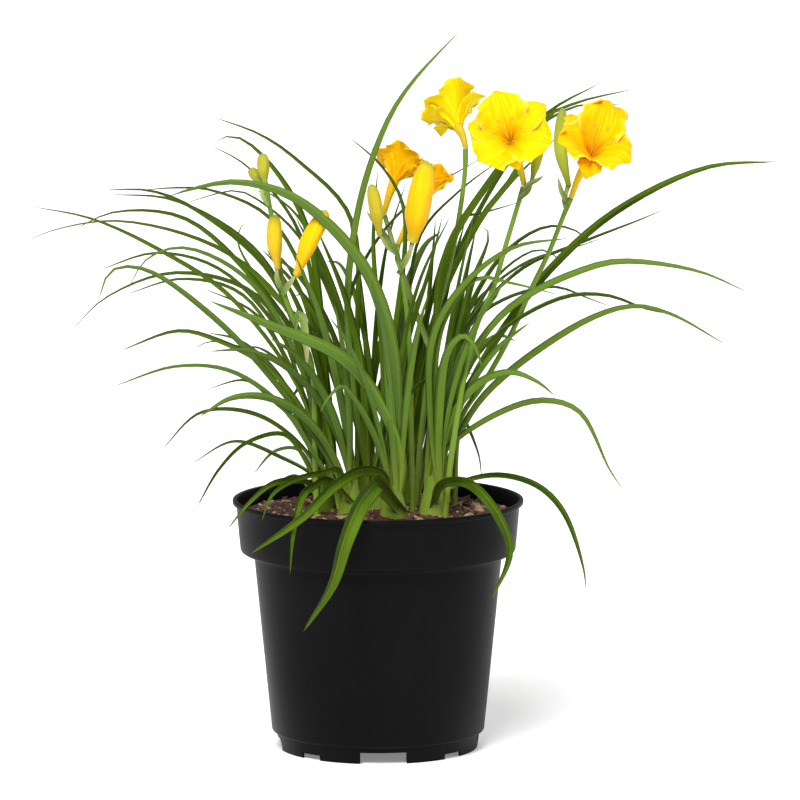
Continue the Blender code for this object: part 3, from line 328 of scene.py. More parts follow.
def makeLeaf(fan, width, line, rng):
    lean = line[-1].x - line[0].x
    full = max(width * 1.12, 6.6)
    return {  # narrow leaves are taken to be full width, turned partly edge-on
        "fan": fan, "line": line, "width": full, "hand": 1.0 if lean < 0 else -1.0,
        "toward": Vector((0.0, -math.cos(viewTilt), math.sin(viewTilt))),
        "shows": -1.0 if line[-1].y < line[0].y - 8.0 else 1.0,
        "roll": math.acos(min(width / full, 0.94)),
        "twist": math.radians(rng.uniform(-25.0, 25.0)),
    }


def leafSteps(leaf):
    if leaf.get("hidden"):
        return 5
    _, length = curveThrough(leaf["line"], 4)
    return 6 if length > 230.0 else 5


def treeOf(points, faces):
    return BVHTree.FromPolygons([tuple(point) for point in points], faces)


def meetsOthers(trees, node, tree):
    return any(other != node and any(tree.overlap(one) for one in placed) for other, placed in trees.items())


def settle(options, trees):
    fallback = None
    for leaf in options:
        tree = treeOf(*solidBlade(leaf, leafSteps(leaf), gap))
        if meetsOthers(trees, leaf["fan"], tree):
            continue
        crossings = sum(1 for one in trees.get(leaf["fan"], []) if tree.overlap(one))
        if crossings == 0:
            return leaf
        if fallback is None or crossings < fallback[0]:
            fallback = (crossings, leaf)
    return fallback[1] if fallback else None


def readLeafOptions(entry, rank, rng):
    fan, width, tipDepth, flatPoints = entry
    twistSeed = rng.random()
    for bend in (1.4, 0.9, 2.1):
        for nudge in (0, 7, -7, 14, -14, 22, -22, 32, -32, 44, -44, 58, -58):
            for shift in (0.0, 0.5, -0.5):
                placeInFan = min(max(rank + shift, -1.0), 1.0)
                line = depthLine(fan, placeInFan, flatPoints, tipDepth + nudge, bend)
                yield makeLeaf(fan, width, line, random.Random(twistSeed))


def rimLeafOptions(entry, rank, rng):
    fan, width, points = entry
    twistSeed = rng.random()
    for lift in (0.0, 3.0, 6.0, 9.0, 13.0):
        for nudge in (0.0, -5.0, 5.0, -10.0, 10.0, -16.0):
            for shift in (0.0, 0.6, -0.6):
                placeInFan = min(max(rank + shift, -1.0), 1.0)
                line = [rootPoint(fan, placeInFan)]
                for i, (right, up, behind) in enumerate(points):
                    share = (i + 1) / len(points)
                    line.append(fromView(right, up + lift * (1 - share), behind + nudge))
                leaf = makeLeaf(fan, width, line, random.Random(twistSeed))
                leaf["shows"] = 1.0
                leaf["roll"] = math.radians(28.0)
                yield leaf


def fillLeafOptions(fan, low, high, rng):
    for _ in range(60):
        heading = math.radians(rng.uniform(low, high))
        length = rng.uniform(170.0, 380.0)
        lean = math.radians(rng.uniform(4.0, 16.0))
        arch = math.radians(rng.uniform(30.0, 105.0))
        line = [rootPoint(fan, rng.uniform(-1.0, 1.0))]
        for i in range(1, 7):
            tilt = lean + arch * (i / 6) ** 1.7
            reach = Vector((math.cos(heading) * math.sin(tilt), math.sin(heading) * math.sin(tilt), math.cos(tilt)))
            line.append(line[-1] + reach * (length / 6))
        leaf = makeLeaf(fan, rng.uniform(5.0, 8.5), line, rng)
        leaf["hidden"] = True
        if staysInside(line):
            yield leaf


def staysInside(line):
    for point in line:
        up = point.z * math.cos(viewTilt) + point.y * math.sin(viewTilt)
        if up > 415.0 or abs(point.x) > 140.0 or up - 250.0 > 1.5 * (180.0 - abs(point.x)):
            return False
        if point.y < -105.0 or point.y > 195.0:
            return False
        if math.hypot(point.x, point.y) > 96.0 and point.z < 215.0:
            return False
    return True


def solidTree(node):
    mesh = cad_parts[node].data
    mesh.calc_loop_triangles()
    points = [vert.co / mm for vert in mesh.vertices]
    return treeOf(points, [tuple(triangle.vertices) for triangle in mesh.loop_triangles])


def growLeaves():
    trees = {}
    for node in ["pot", "soil"] + list(scapes) + list(buds) + list(blooms):
        trees[node] = [solidTree(node)]
    rng = random.Random(seed)
    leaves = []
    counts = {fan: 0 for fan in fans}
    ranks = (0.0, 0.8, -0.8, 0.4, -0.4, 1.0, -1.0, 0.6, -0.6, 0.2, -0.2)

    def keep(leaf):
        if leaf is not None:
            leaves.append(leaf)
            trees.setdefault(leaf["fan"], []).append(treeOf(*solidBlade(leaf, leafSteps(leaf))))

    jobs = [(rimLeafOptions, entry) for entry in rimLines] + [(readLeafOptions, entry) for entry in leafLines]
    for maker, entry in jobs:
        fan = entry[0]
        rank = ranks[counts[fan] % len(ranks)]
        counts[fan] += 1
        keep(settle(maker(entry, rank, rng), trees))
    for fan, (count, low, high) in fillLeaves.items():
        for _ in range(count):
            keep(settle(fillLeafOptions(fan, low, high, rng), trees))
    astray = 0
    for leaf in leaves:  # each tip is a corner of its fan's solid, or this script's leaves have drifted from the solids
        tip = curveThrough(leaf["line"], leafSteps(leaf))[0][-1] * mm
        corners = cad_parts["leaf_fan_" + leaf["fan"]].data.vertices
        if min((corner.co - tip).length for corner in corners) > 0.0001:
            astray += 1
    print("leaves", len(leaves), "off their solids", astray)
    return leaves


# The sweep that makes every leaf, stalk, bud and stamen from its line

lineAttributes = {"across": 3, "upper": 3, "half": 1, "depth": 1, "fold": 1, "share": 1, "tone": 1, "ridge": 1,
                  "wave": 1, "run": 1}
lengthAttributes = ("half", "depth", "wave")


def linesMesh(name, lines):
    # Each line is a list of stations, which hold their centre in mm and any of the line attributes
    points = []
    edges = []
    values = {key: [] for key in lineAttributes}
    for line in lines:
        for i, station in enumerate(line):
            if i:
                edges.append((len(points) - 1, len(points)))
            points.append(tuple(station["centre"] * mm))
            for key, size in lineAttributes.items():
                value = station.get(key, 0.0)
                if key in lengthAttributes:
                    value = value * mm
                values[key] += list(value) if size == 3 else [value]
    mesh = bpy.data.meshes.new(name)
    mesh.from_pydata(points, edges, [])
    for key, size in lineAttributes.items():
        kind = 'FLOAT_VECTOR' if size == 3 else 'FLOAT'
        layer = mesh.attributes.new(key, kind, 'POINT')
        layer.data.foreach_set("vector" if size == 3 else "value", values[key])
    return mesh


class NodeMaker:
    def __init__(self, tree):
        self.nodes = tree.nodes
        self.links = tree.links

    def node(self, kind, inputs=None, **settings):
        node = self.nodes.new(kind)
        for key, value in settings.items():
            setattr(node, key, value)
        for key, value in (inputs or {}).items():
            if isinstance(value, bpy.types.NodeSocket):
                self.links.new(value, node.inputs[key])
            else:
                node.inputs[key].default_value = value
        return node

    def math(self, operation, a, b=0.0):
        return self.node('ShaderNodeMath', {0: a, 1: b}, operation=operation).outputs[0]

    def product(self, first, *others):
        for other in others:
            first = self.math('MULTIPLY', first, other)
        return first


class TreeMaker(NodeMaker):
    def __init__(self, name):
        self.group = bpy.data.node_groups.new(name, 'GeometryNodeTree')
        super().__init__(self.group)
        self.socket("Geometry", 'NodeSocketGeometry')

    def socket(self, name, kind, default=None):
        made = self.group.interface.new_socket(name, in_out='INPUT', socket_type=kind)
        if default is not None:
            made.default_value = default
        return made.identifier

    def finish(self, geometry, material):
        # Every tree ends in plain geometry with its material set
        self.group.interface.new_socket("Geometry", in_out='OUTPUT', socket_type='NodeSocketGeometry')
        whole = self.node('GeometryNodeRealizeInstances', {"Geometry": geometry}).outputs[0]
        dressed = self.node('GeometryNodeSetMaterial', {"Geometry": whole, "Material": material}).outputs[0]
        self.links.new(dressed, self.node('NodeGroupOutput').inputs[0])

    def scaled(self, vector, factor):
        return self.node('ShaderNodeVectorMath', {0: vector, 3: factor}, operation='SCALE').outputs[0]

    def sum(self, a, b):
        return self.node('ShaderNodeVectorMath', {0: a, 1: b}, operation='ADD').outputs[0]

    def read(self, name, vector=False):
        kind = 'FLOAT_VECTOR' if vector else 'FLOAT'
        return self.node('GeometryNodeInputNamedAttribute', {"Name": name}, data_type=kind).outputs["Attribute"]

    def store(self, geometry, name, value, vector=False):
        kind = 'FLOAT_VECTOR' if vector else 'FLOAT'
        node = self.node('GeometryNodeStoreNamedAttribute', {"Geometry": geometry, "Name": name, "Value": value},
                         data_type=kind, domain='POINT')
        return node.outputs["Geometry"]


def buildSweep():
    tree = TreeMaker("sweptStrap")
    ids = {
        "sides": tree.socket("Sides", 'NodeSocketInt', 12),
        "waveCount": tree.socket("Wave Count", 'NodeSocketFloat', 9.0),
        "material": tree.socket("Material", 'NodeSocketMaterial'),
    }
    start = tree.node('NodeGroupInput').outputs
    curve = tree.node('GeometryNodeMeshToCurve', {"Mesh": start["Geometry"]}).outputs[0]
    position = tree.node('GeometryNodeInputPosition').outputs[0]
    curve = tree.store(curve, "centre", position, vector=True)
    ring = tree.node('GeometryNodeCurvePrimitiveCircle', {"Resolution": start["Sides"]}).outputs[0]
    ringPlace = tree.node('ShaderNodeSeparateXYZ', {0: position}).outputs
    ring = tree.store(ring, "side", ringPlace[0])
    ring = tree.store(ring, "face", ringPlace[1])
    swept = tree.node('GeometryNodeCurveToMesh', {"Curve": curve, "Profile Curve": ring, "Fill Caps": True})
    side, face = tree.read("side"), tree.read("face")
    half, depth, fold = tree.read("half"), tree.read("depth"), tree.read("fold")
    across, upper = tree.read("across", True), tree.read("upper", True)
    turn = tree.math('ARCTAN2', face, side)
    ridges = tree.product(tree.math('COSINE', tree.product(turn, 3.0)), tree.read("ridge"))
    swell = tree.math('ADD', ridges, 1.0)
    sideways = tree.product(side, half, tree.math('COSINE', fold), swell)
    size = tree.math('ABSOLUTE', side)
    lift = tree.product(size, half, tree.math('SINE', fold))
    lift = tree.math('ADD', lift, tree.product(face, depth, swell))
    phase = tree.product(tree.read("share"), start["Wave Count"])
    phase = tree.math('ADD', phase, tree.product(side, 1.7))
    phase = tree.math('ADD', phase, tree.product(tree.read("tone"), 40.0))
    ripple = tree.product(tree.math('SINE', phase), tree.product(size, tree.read("wave")))
    lift = tree.math('ADD', lift, ripple)
    place = tree.sum(tree.read("centre", True), tree.sum(tree.scaled(across, sideways), tree.scaled(upper, lift)))
    moved = tree.node('GeometryNodeSetPosition', {"Geometry": swept.outputs[0], "Position": place}).outputs[0]
    closed = tree.node('GeometryNodeMergeByDistance', {"Geometry": moved, "Distance": 0.00002}).outputs[0]
    tree.finish(tree.node('GeometryNodeSetShadeSmooth', {"Geometry": closed}).outputs[0], start["Material"])
    return tree.group, ids


sweepTree, sweepInputs = buildSweep()


def linkObject(name, mesh):
    piece = bpy.data.objects.new(name, mesh)
    bpy.context.scene.collection.objects.link(piece)
    return piece


def plainMesh(piece):
    # Turns the modifiers' result into a plain mesh
    bpy.context.view_layer.update()
    evaluated = piece.evaluated_get(bpy.context.evaluated_depsgraph_get())
    mesh = bpy.data.meshes.new_from_object(evaluated, preserve_all_data_layers=True,
                                           depsgraph=bpy.context.evaluated_depsgraph_get())
    piece.modifiers.clear()
    old = piece.data
    piece.data = mesh
    bpy.data.meshes.remove(old)
    mesh.name = piece.name
    return piece


def outward(mesh):
    form = bmesh.new()
    form.from_mesh(mesh)
    bmesh.ops.recalc_face_normals(form, faces=form.faces)
    form.to_mesh(mesh)
    form.free()


def sweep(name, lines, look, sides=12, waveCount=9.0):
    piece = linkObject(name, linesMesh(name, lines))
    step = piece.modifiers.new("sweep", 'NODES')
    step.node_group = sweepTree
    step[sweepInputs["sides"]] = sides
    step[sweepInputs["waveCount"]] = waveCount
    step[sweepInputs["material"]] = look
    plainMesh(piece)
    outward(piece.data)
    return piece


def roundLine(path, radii, tone=0.5, ridge=0.0):
    tangents = directions(path)
    across = tangents[0].cross(Vector((0.31, 0.94, 0.12))).normalized()
    line = []
    for i, (centre, tangent, radius) in enumerate(zip(path, tangents, radii)):
        across = (across - tangent * across.dot(tangent)).normalized()
        line.append({"centre": centre, "across": across, "upper": tangent.cross(across), "half": radius,
                     "depth": radius, "share": i / (len(path) - 1), "tone": tone, "ridge": ridge})
    return line


def leafLine(leaf, steps, tone):
    path, length = curveThrough(leaf["line"], steps)
    tangents = directions(path)
    line = []
    for i in range(steps + 1):
        share = i / steps
        upper = leafNormal(leaf, tangents[i], share)
        half = bladeWidth(share, leaf["width"]) / 2
        line.append({"centre": path[i], "across": tangents[i].cross(upper).normalized(), "upper": upper,
                     "half": half, "depth": 0.28 * min(half / 1.2, 1.0), "fold": math.radians(50.0 - 30.0 * share),
                     "share": share, "tone": tone, "wave": 0.25 * min(half / 3.0, 1.0), "run": share * length})
    return line


# Materials

class Look(NodeMaker):
    def __init__(self, name, roughness=0.5):
        self.material = bpy.data.materials.new(name)
        self.material.use_nodes = True
        super().__init__(self.material.node_tree)
        self.shader = self.nodes["Principled BSDF"]
        self.set({"Roughness": roughness})

    def set(self, values):
        for key, value in values.items():
            self.shader.inputs[key].default_value = value

    def attribute(self, name):
        return self.node('ShaderNodeAttribute', attribute_name=name).outputs["Fac"]

    def place(self):
        return self.node('ShaderNodeTexCoord').outputs["Object"]

    def ramp(self, factor, stops):
        node = self.node('ShaderNodeValToRGB', {"Fac": factor})
        for i, (at, colour) in enumerate(stops):
            stop = node.color_ramp.elements[i] if i < 2 else node.color_ramp.elements.new(at)
            stop.position = at
            stop.color = (*colour, 1.0)
        return node.outputs["Color"]

    def mix(self, factor, a, b):
        node = self.node('ShaderNodeMix', {"Factor": factor}, data_type='RGBA', blend_type='MIX')
        for target, value in ((node.inputs[6], a), (node.inputs[7], b)):
            if isinstance(value, bpy.types.NodeSocket):
                self.links.new(value, target)
            else:
                target.default_value = (*value, 1.0)
        return node.outputs[2]

    def range(self, value, low, high, first=0.0, last=1.0):
        node = self.node('ShaderNodeMapRange', {"Value": value, "From Min": low, "From Max": high,
                                                "To Min": first, "To Max": last})
        return node.outputs["Result"]

    def noise(self, vector, scale, detail=3.0, stretch=None):
        if stretch:
            vector = self.node('ShaderNodeMapping', {"Vector": vector, "Scale": stretch}).outputs["Vector"]
        return self.node('ShaderNodeTexNoise', {"Vector": vector, "Scale": scale, "Detail": detail}).outputs["Fac"]

    def over(self, base, colour, value, low, high, first, last=0.0):
        # Lays a colour over the base, by amounts from first to last as the value goes from low to high
        return self.mix(self.range(value, low, high, first, last), base, colour)

    def colour(self, value):
        self.links.new(value, self.shader.inputs["Base Color"])

    def rough(self, value):
        self.links.new(value, self.shader.inputs["Roughness"])

    def bump(self, height, strength, distance):
        node = self.node('ShaderNodeBump', {"Height": height, "Strength": strength, "Distance": distance})
        self.links.new(node.outputs["Normal"], self.shader.inputs["Normal"])


def veins(look, lines, along):
    # Fine lines that run with the blade or petal, from its own across, along and tone values
    vector = look.node('ShaderNodeCombineXYZ', {0: look.product(look.attribute("side"), lines),
                                                1: look.product(look.attribute("share"), along),
                                                2: look.product(look.attribute("tone"), 37.0)})
    return look.noise(vector.outputs[0], 1.0, 2.0)


def leafLook():
    look = Look("daylilyLeaf", 0.4)
    share, tone = look.attribute("share"), look.attribute("tone")
    dark = look.ramp(share, [(0.0, (0.055, 0.110, 0.005)), (0.25, (0.022, 0.058, 0.002)),
                             (0.7, (0.013, 0.040, 0.002)), (1.0, (0.026, 0.060, 0.004))])
    light = look.ramp(share, [(0.0, (0.20, 0.31, 0.012)), (0.25, (0.110, 0.200, 0.006)), (0.7, (0.070, 0.140, 0.006)),
                              (1.0, (0.10, 0.17, 0.014))])
    base = look.mix(tone, dark, light)
    streak = veins(look, 9.0, 3.0)
    base = look.over(base, (0.010, 0.034, 0.002), streak, 0.38, 0.62, 0.0, 0.6)
    patch = look.noise(look.place(), 38.0, 2.0)
    base = look.over(base, (0.12, 0.21, 0.008), patch, 0.35, 0.7, 0.0, 0.25)
    base = look.over(base, (0.12, 0.21, 0.045), look.attribute("face"), 0.1, -0.5, 0.0, 0.55)  # underside
    base = look.over(base, (0.36, 0.46, 0.07), look.attribute("run"), 0.0, 55.0, 0.75)  # pale foot
    side = look.attribute("side")
    base = look.over(base, (0.15, 0.25, 0.008), side, -0.3, 0.3, 0.32)  # painted light: the half turned to the light is lighter
    base = look.over(base, (0.20, 0.32, 0.02), look.math('ABSOLUTE', side), 0.0, 0.14, 0.55)  # keel: paler midrib with a painted highlight along the fold
    look.colour(base)
    look.rough(look.range(patch, 0.3, 0.7, 0.38, 0.54))
    look.bump(veins(look, 16.0, 2.0), 0.6, 0.0008)
    look.set({"IOR": 1.3, "Specular Tint": (0.75, 0.9, 0.3, 1.0)})
    return look.material


def stemLook():
    look = Look("flowerStalk", 0.42)
    height = look.node('ShaderNodeSeparateXYZ', {0: look.place()}).outputs[2]
    base = look.ramp(look.range(height, 0.18, 0.46), [(0.0, (0.24, 0.34, 0.03)), (0.4, (0.13, 0.24, 0.02)),
                                                      (1.0, (0.17, 0.28, 0.03))])
    streak = veins(look, 6.0, 20.0)
    base = look.over(base, (0.07, 0.15, 0.01), streak, 0.35, 0.7, 0.0, 0.4)
    look.colour(base)
    look.bump(streak, 0.3, 0.0005)
    look.set({"IOR": 1.3})
    return look.material


def bractLook():
    look = Look("paperyBract", 0.6)
    base = look.ramp(look.attribute("share"), [(0.0, (0.12, 0.22, 0.02)), (0.5, (0.20, 0.30, 0.05)),
                                               (1.0, (0.50, 0.44, 0.18))])
    streak = veins(look, 9.0, 2.0)
    base = look.over(base, (0.30, 0.30, 0.12), streak, 0.35, 0.7, 0.0, 0.5)
    look.colour(base)
    look.bump(streak, 0.4, 0.0005)
    return look.material


def budLook():
    # tone says how ripe the bud is: 0 green, 1 deep yellow
    look = Look("flowerBud", 0.42)
    share, tone = look.attribute("share"), look.attribute("tone")
    green = look.ramp(share, [(0.0, (0.20, 0.32, 0.04)), (0.5, (0.36, 0.42, 0.04)), (1.0, (0.26, 0.32, 0.05))])
    ripe = look.ramp(share, [(0.0, (0.50, 0.45, 0.03)), (0.2, (0.86, 0.50, 0.004)), (0.75, (0.90, 0.56, 0.003)),
                             (0.93, (0.60, 0.50, 0.01)), (1.0, (0.22, 0.30, 0.04))])
    base = look.mix(tone, green, ripe)
    streak = veins(look, 7.0, 2.0)
    base = look.mix(look.range(streak, 0.4, 0.75, 0.0, 0.45), base, look.mix(tone, (0.16, 0.24, 0.02),
                                                                            (0.80, 0.30, 0.004)))
    look.colour(base)
    look.bump(streak, 0.35, 0.0006)
    look.set({"Subsurface Weight": 0.1, "Subsurface Radius": (0.004, 0.002, 0.0003), "Specular IOR Level": 0.1})
    return look.material


def petalLook(name, lemon, gold, outside):
    look = Look(name, 0.5)
    share = look.attribute("share")
    # Deeper gold towards the throat: the throat's own colour, with painted shade down in the deep throat
    base = look.ramp(share, [(0.0, (0.62, 0.50, 0.03)), (0.16, gold), (0.42, lemon), (1.0, lemon)])
    streak = veins(look, 11.0, 1.6)
    base = look.over(base, gold, streak, 0.42, 0.66, 0.0, 0.6)
    patch = look.noise(look.place(), 55.0, 2.0)
    base = look.over(base, gold, patch, 0.45, 0.7, 0.0, 0.45)
    edge = look.math('ABSOLUTE', look.attribute("side"))
    # Painted highlight: pale cream along the ruffled edges
    base = look.over(base, (0.86, 0.76, 0.14), edge, 0.82, 1.0, 0.0, 0.5)
    base = look.over(base, outside, look.attribute("face"), 0.2, -0.2, 0.0, 0.75)
    look.colour(base)
    look.bump(veins(look, 15.0, 1.2), 0.45, 0.0012)
    look.set({"Subsurface Weight": 0.15, "Subsurface Radius": (0.006, 0.004, 0.0004),
              "Specular IOR Level": 0.08, "Specular Tint": (1.0, 0.9, 0.3, 1.0)})
    return look.material


def stamenLook():
    look = Look("stamen", 0.6)
    base = look.ramp(look.attribute("share"), [(0.0, (0.95, 0.70, 0.03)), (0.8, (0.98, 0.66, 0.02)),
                                               (0.88, (0.85, 0.48, 0.01)), (1.0, (0.80, 0.42, 0.01))])
    look.colour(look.mix(look.attribute("tone"), base, (1.0, 0.72, 0.04)))
    look.bump(look.noise(look.place(), 900.0), 0.5, 0.0004)
    return look.material


def potLook():
    look = Look("blackPlastic", 0.44)
    grain = look.noise(look.place(), 900.0, 2.0)
    scuff = look.noise(look.place(), 16.0, 4.0, (1.0, 1.0, 0.35))
    base = look.mix(look.range(scuff, 0.35, 0.75), (0.0030, 0.0030, 0.0031), (0.0052, 0.0051, 0.0052))
    dust = look.range(look.noise(look.place(), 420.0, 5.0), 0.66, 0.8, 0.0, 0.16)
    look.colour(look.mix(dust, base, (0.03, 0.027, 0.024)))
    look.rough(look.range(scuff, 0.3, 0.7, 0.36, 0.48))
    look.bump(grain, 0.12, 0.0004)
    look.set({"IOR": 1.13})
    return look.material


def soilLook():
    look = Look("pottingSoil", 0.95)
    crumbs = look.noise(look.place(), 420.0, 6.0)
    clumps = look.noise(look.place(), 90.0, 4.0)
    base = look.mix(look.range(crumbs, 0.35, 0.7), (0.018, 0.008, 0.005), (0.10, 0.042, 0.02))
    look.colour(look.mix(look.range(clumps, 0.35, 0.7, 0.0, 0.6), base, (0.055, 0.024, 0.013)))
    look.bump(crumbs, 0.9, 0.0025)
    return look.material


def chipLook():
    look = Look("barkChip", 0.88)
    tone = look.attribute("chipTone")
    fibre = look.noise(look.place(), 260.0, 4.0, (1.0, 1.0, 4.0))
    base = look.ramp(tone, [(0.0, (0.030, 0.013, 0.008)), (0.55, (0.085, 0.028, 0.011)), (0.82, (0.15, 0.058, 0.025)),
                            (0.88, (0.42, 0.27, 0.16)), (1.0, (0.56, 0.42, 0.28))])
    look.colour(look.mix(look.range(fibre, 0.35, 0.7, 0.0, 0.6), base, (0.05, 0.02, 0.012)))
    look.bump(fibre, 0.8, 0.0012)
    return look.material


looks = {"leaf": leafLook(), "stem": stemLook(), "bract": bractLook(), "bud": budLook(), "stamen": stamenLook(),
         "pot": potLook(), "soil": soilLook(), "chip": chipLook(),
         "lemonPetal": petalLook("lemonPetal", (0.85, 0.63, 0.003), (0.84, 0.43, 0.001), (1.0, 0.78, 0.004)),
         "goldenPetal": petalLook("goldenPetal", (0.88, 0.56, 0.002), (0.86, 0.33, 0.001), (0.98, 0.50, 0.001))}
print("looks made", len(looks))


def dress(piece, nodes):
    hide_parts(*nodes)
    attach(piece, "root")
    return piece


def alsoThere(piece):
    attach(piece, "root")
    return piece


# Pot

def bakedForm(name, form):
    mesh = bpy.data.meshes.new(name)
    form.to_mesh(mesh)
    form.free()
    return mesh


def turnedMesh(name, profile, steps):
    form = bmesh.new()
    verts = [form.verts.new((radius * mm, 0.0, height * mm)) for radius, height in profile]
    edges = [form.edges.new((verts[i], verts[i + 1])) for i in range(len(verts) - 1)]
    bmesh.ops.spin(form, geom=verts + edges, cent=(0, 0, 0), axis=(0, 0, 1), angle=math.tau, steps=steps,
                   use_merge=True, use_duplicate=False)
    bmesh.ops.remove_doubles(form, verts=form.verts, dist=0.00001)
    bmesh.ops.recalc_face_normals(form, faces=form.faces)
    return bakedForm(name, form)


def blockAt(name, size, centre, turn):
    form = bmesh.new()
    bmesh.ops.create_cube(form, size=1.0)
    angle = math.radians(turn)
    for vert in form.verts:
        x = vert.co.x * size[0] + centre[0]
        y = vert.co.y * size[1] + centre[1]
        z = vert.co.z * size[2] + centre[2]
        vert.co = Vector((x * math.cos(angle) - y * math.sin(angle),
                          x * math.sin(angle) + y * math.cos(angle), z)) * mm
    bmesh.ops.recalc_face_normals(form, faces=form.faces)
    return linkObject(name, bakedForm(name, form))


def drumAt(name, radius, low, high, centre):
    form = bmesh.new()
    bmesh.ops.create_cone(form, cap_ends=True, segments=32, radius1=radius, radius2=radius, depth=high - low)
    for vert in form.verts:
        vert.co = (vert.co + Vector((centre[0], centre[1], (low + high) / 2))) * mm
    return linkObject(name, bakedForm(name, form))


def discard(pieces, group):
    for piece in pieces:
        spent = piece.data
        bpy.data.objects.remove(piece)
        bpy.data.meshes.remove(spent)
    bpy.data.collections.remove(group)


def joined(piece, others, operation):
    # Adds or cuts away the other pieces, then removes them
    group = bpy.data.collections.new(piece.name + "Tools")
    for other in others:
        group.objects.link(other)
    step = piece.modifiers.new("join", 'BOOLEAN')
    step.operation = operation
    step.operand_type = 'COLLECTION'
    step.collection = group
    step.solver = 'EXACT'
    plainMesh(piece)
    discard(others, group)


def keepBodies(mesh, wanted):
    # Deletes each loose body of the mesh that isn't wanted
    form = bmesh.new()
    form.from_mesh(mesh)
    bodies = []
    left = set(form.verts)
    while left:
        body = [left.pop()]
        for vert in body:
            for edge in vert.link_edges:
                other = edge.other_vert(vert)
                if other in left:
                    left.remove(other)
                    body.append(other)
        bodies.append(body)
    largest = max(len(body) for body in bodies)
    for body in bodies:
        if not wanted(body, largest):
            bmesh.ops.delete(form, geom=body, context='VERTS')
    form.to_mesh(mesh)
    form.free()


def arc(centreR, centreZ, radius, first, last, count):
    return [(centreR + radius * math.cos(math.radians(first + (last - first) * i / count)),
             centreZ + radius * math.sin(math.radians(first + (last - first) * i / count))) for i in range(count + 1)]


pot = {
    "steps": 160, "collarFoot": 104.2, "bodyFoot": 80.6, "foot": 75.5, "wall": 1.6, "floorLow": 9.0,
    "floorHigh": 10.6, "wideNotch": (34.8, 8.7), "narrowNotch": (17.2, 4.0), "notchTurn": 3.3,
    "notchDepth": 10.0, "notchAt": -76.0, "rib": (1.4, 8.6, 8.9), "ribAt": (-68.1, 4.95), "drain": 6.0,
    "drainRing": 61.0, "sharpAngle": 35.0,
}


def makePot():
    p = pot
    wall = p["wall"]
    profile = [(0.0, 0.0), (19.4, 0.0), (20.4, 0.5), (23.4, 8.4), (24.4, p["floorLow"]), (74.6, p["floorLow"]),
               (73.9, 0.3), (74.2, 0.0), (75.2, 0.0), (p["foot"], 0.4), (76.9, 11.6), (77.3, 12.2), (80.0, 13.4),
               (p["bodyFoot"], 14.3), (85.0, 58.0), (89.4, 102.0), (93.5, 144.0), (93.9, 146.6), (94.8, 148.6),
               (96.4, 149.6), (102.4, 150.2), (103.6, 151.0), (p["collarFoot"], 152.6), (105.2, 163.0),
               (106.2, 174.0), (107.0, 184.6), (107.4, 186.0), (108.8, 186.4)]
    profile += arc(109.0, 187.4, 1.0, -80, 0, 4) + arc(109.0, 189.0, 1.0, 0, 90, 4) + [(107.6, 190.0)]
    profile += [(106.8, 189.6), (105.7, 186.6), (104.4, 174.0), (102.8, 155.4), (102.0, 153.2), (100.6, 152.3),
                (93.6, 151.4), (92.5, 150.4), (92.1, 147.0), (84.0, 66.0), (79.4, 18.0), (78.0, 15.4),
                (75.4, 13.2), (74.4, p["floorHigh"]), (26.0, p["floorHigh"]), (24.6, 10.0), (22.2, wall), (0.0, wall)]
    piece = linkObject("nurseryPot", turnedMesh("nurseryPot", profile, p["steps"]))
    cutters = []
    ribs = []
    for quarter in range(4):
        turn = p["notchTurn"] + 90.0 * quarter
        for name, notch, at in (("wideCut", "wideNotch", turn), ("narrowCut", "narrowNotch", turn + 45.0)):
            width, height = p[notch]
            size = (width, p["notchDepth"], height + 1)
            cutters.append(blockAt(name, size, (0, p["notchAt"], (height - 1) / 2), at))
        angle = math.radians(turn - 90.0)
        ring = (p["drainRing"] * math.cos(angle), p["drainRing"] * math.sin(angle))
        cutters.append(drumAt("drainCut", p["drain"], 6.0, 13.0, ring))
        for side in (-1, 1):
            ribs.append(blockAt("notchRib", p["rib"], (side * (p["wideNotch"][0] / 2 + 0.9), *p["ribAt"]), turn))
    joined(piece, ribs, 'UNION')
    joined(piece, cutters, 'DIFFERENCE')
    keepBodies(piece.data, lambda body, largest: len(body) == largest)
    piece.data.shade_smooth()
    piece.data.set_sharp_from_angle(angle=math.radians(p["sharpAngle"]))
    piece.data.materials.clear()
    piece.data.materials.append(looks["pot"])
    dress(piece, ["pot"])
    print("pot", len(piece.data.polygons), "faces")


# Soil and its bark

soil = {
    "edge": 178.0, "middle": 182.0, "chips": 1700, "seed": 7, "shapes": 5, "radius": 104.2, "rings": 34,
    "around": 96, "chipBreadth": 0.62, "chipThickness": 0.30, "smallest": 0.0018, "largest": 0.0085,
    "chipReach": 0.1035, "chipTop": 0.1895, "scatterRadius": 0.100,
}
# The soil's side and underside as (radius, height), just inside the pot's wall
soilSide = [(103.6, 170.0), (102.0, 155.2), (100.8, 152.9), (91.9, 152.0), (91.6, 147.0), (78.5, 18.2),
            (74.8, 13.8), (73.7, 11.0)]


def chipMesh(name, rng):
    form = bmesh.new()
    bmesh.ops.create_cube(form, size=1.0)
    for vert in form.verts:
        vert.co += Vector((rng.uniform(-0.2, 0.2), rng.uniform(-0.2, 0.2), rng.uniform(-0.25, 0.25)))
        vert.co.y *= soil["chipBreadth"]
        vert.co.z *= soil["chipThickness"]
    bmesh.ops.bevel(form, geom=form.edges[:], offset=0.06, segments=1, affect='EDGES')
    bmesh.ops.recalc_face_normals(form, faces=form.faces)
    return bakedForm(name, form)


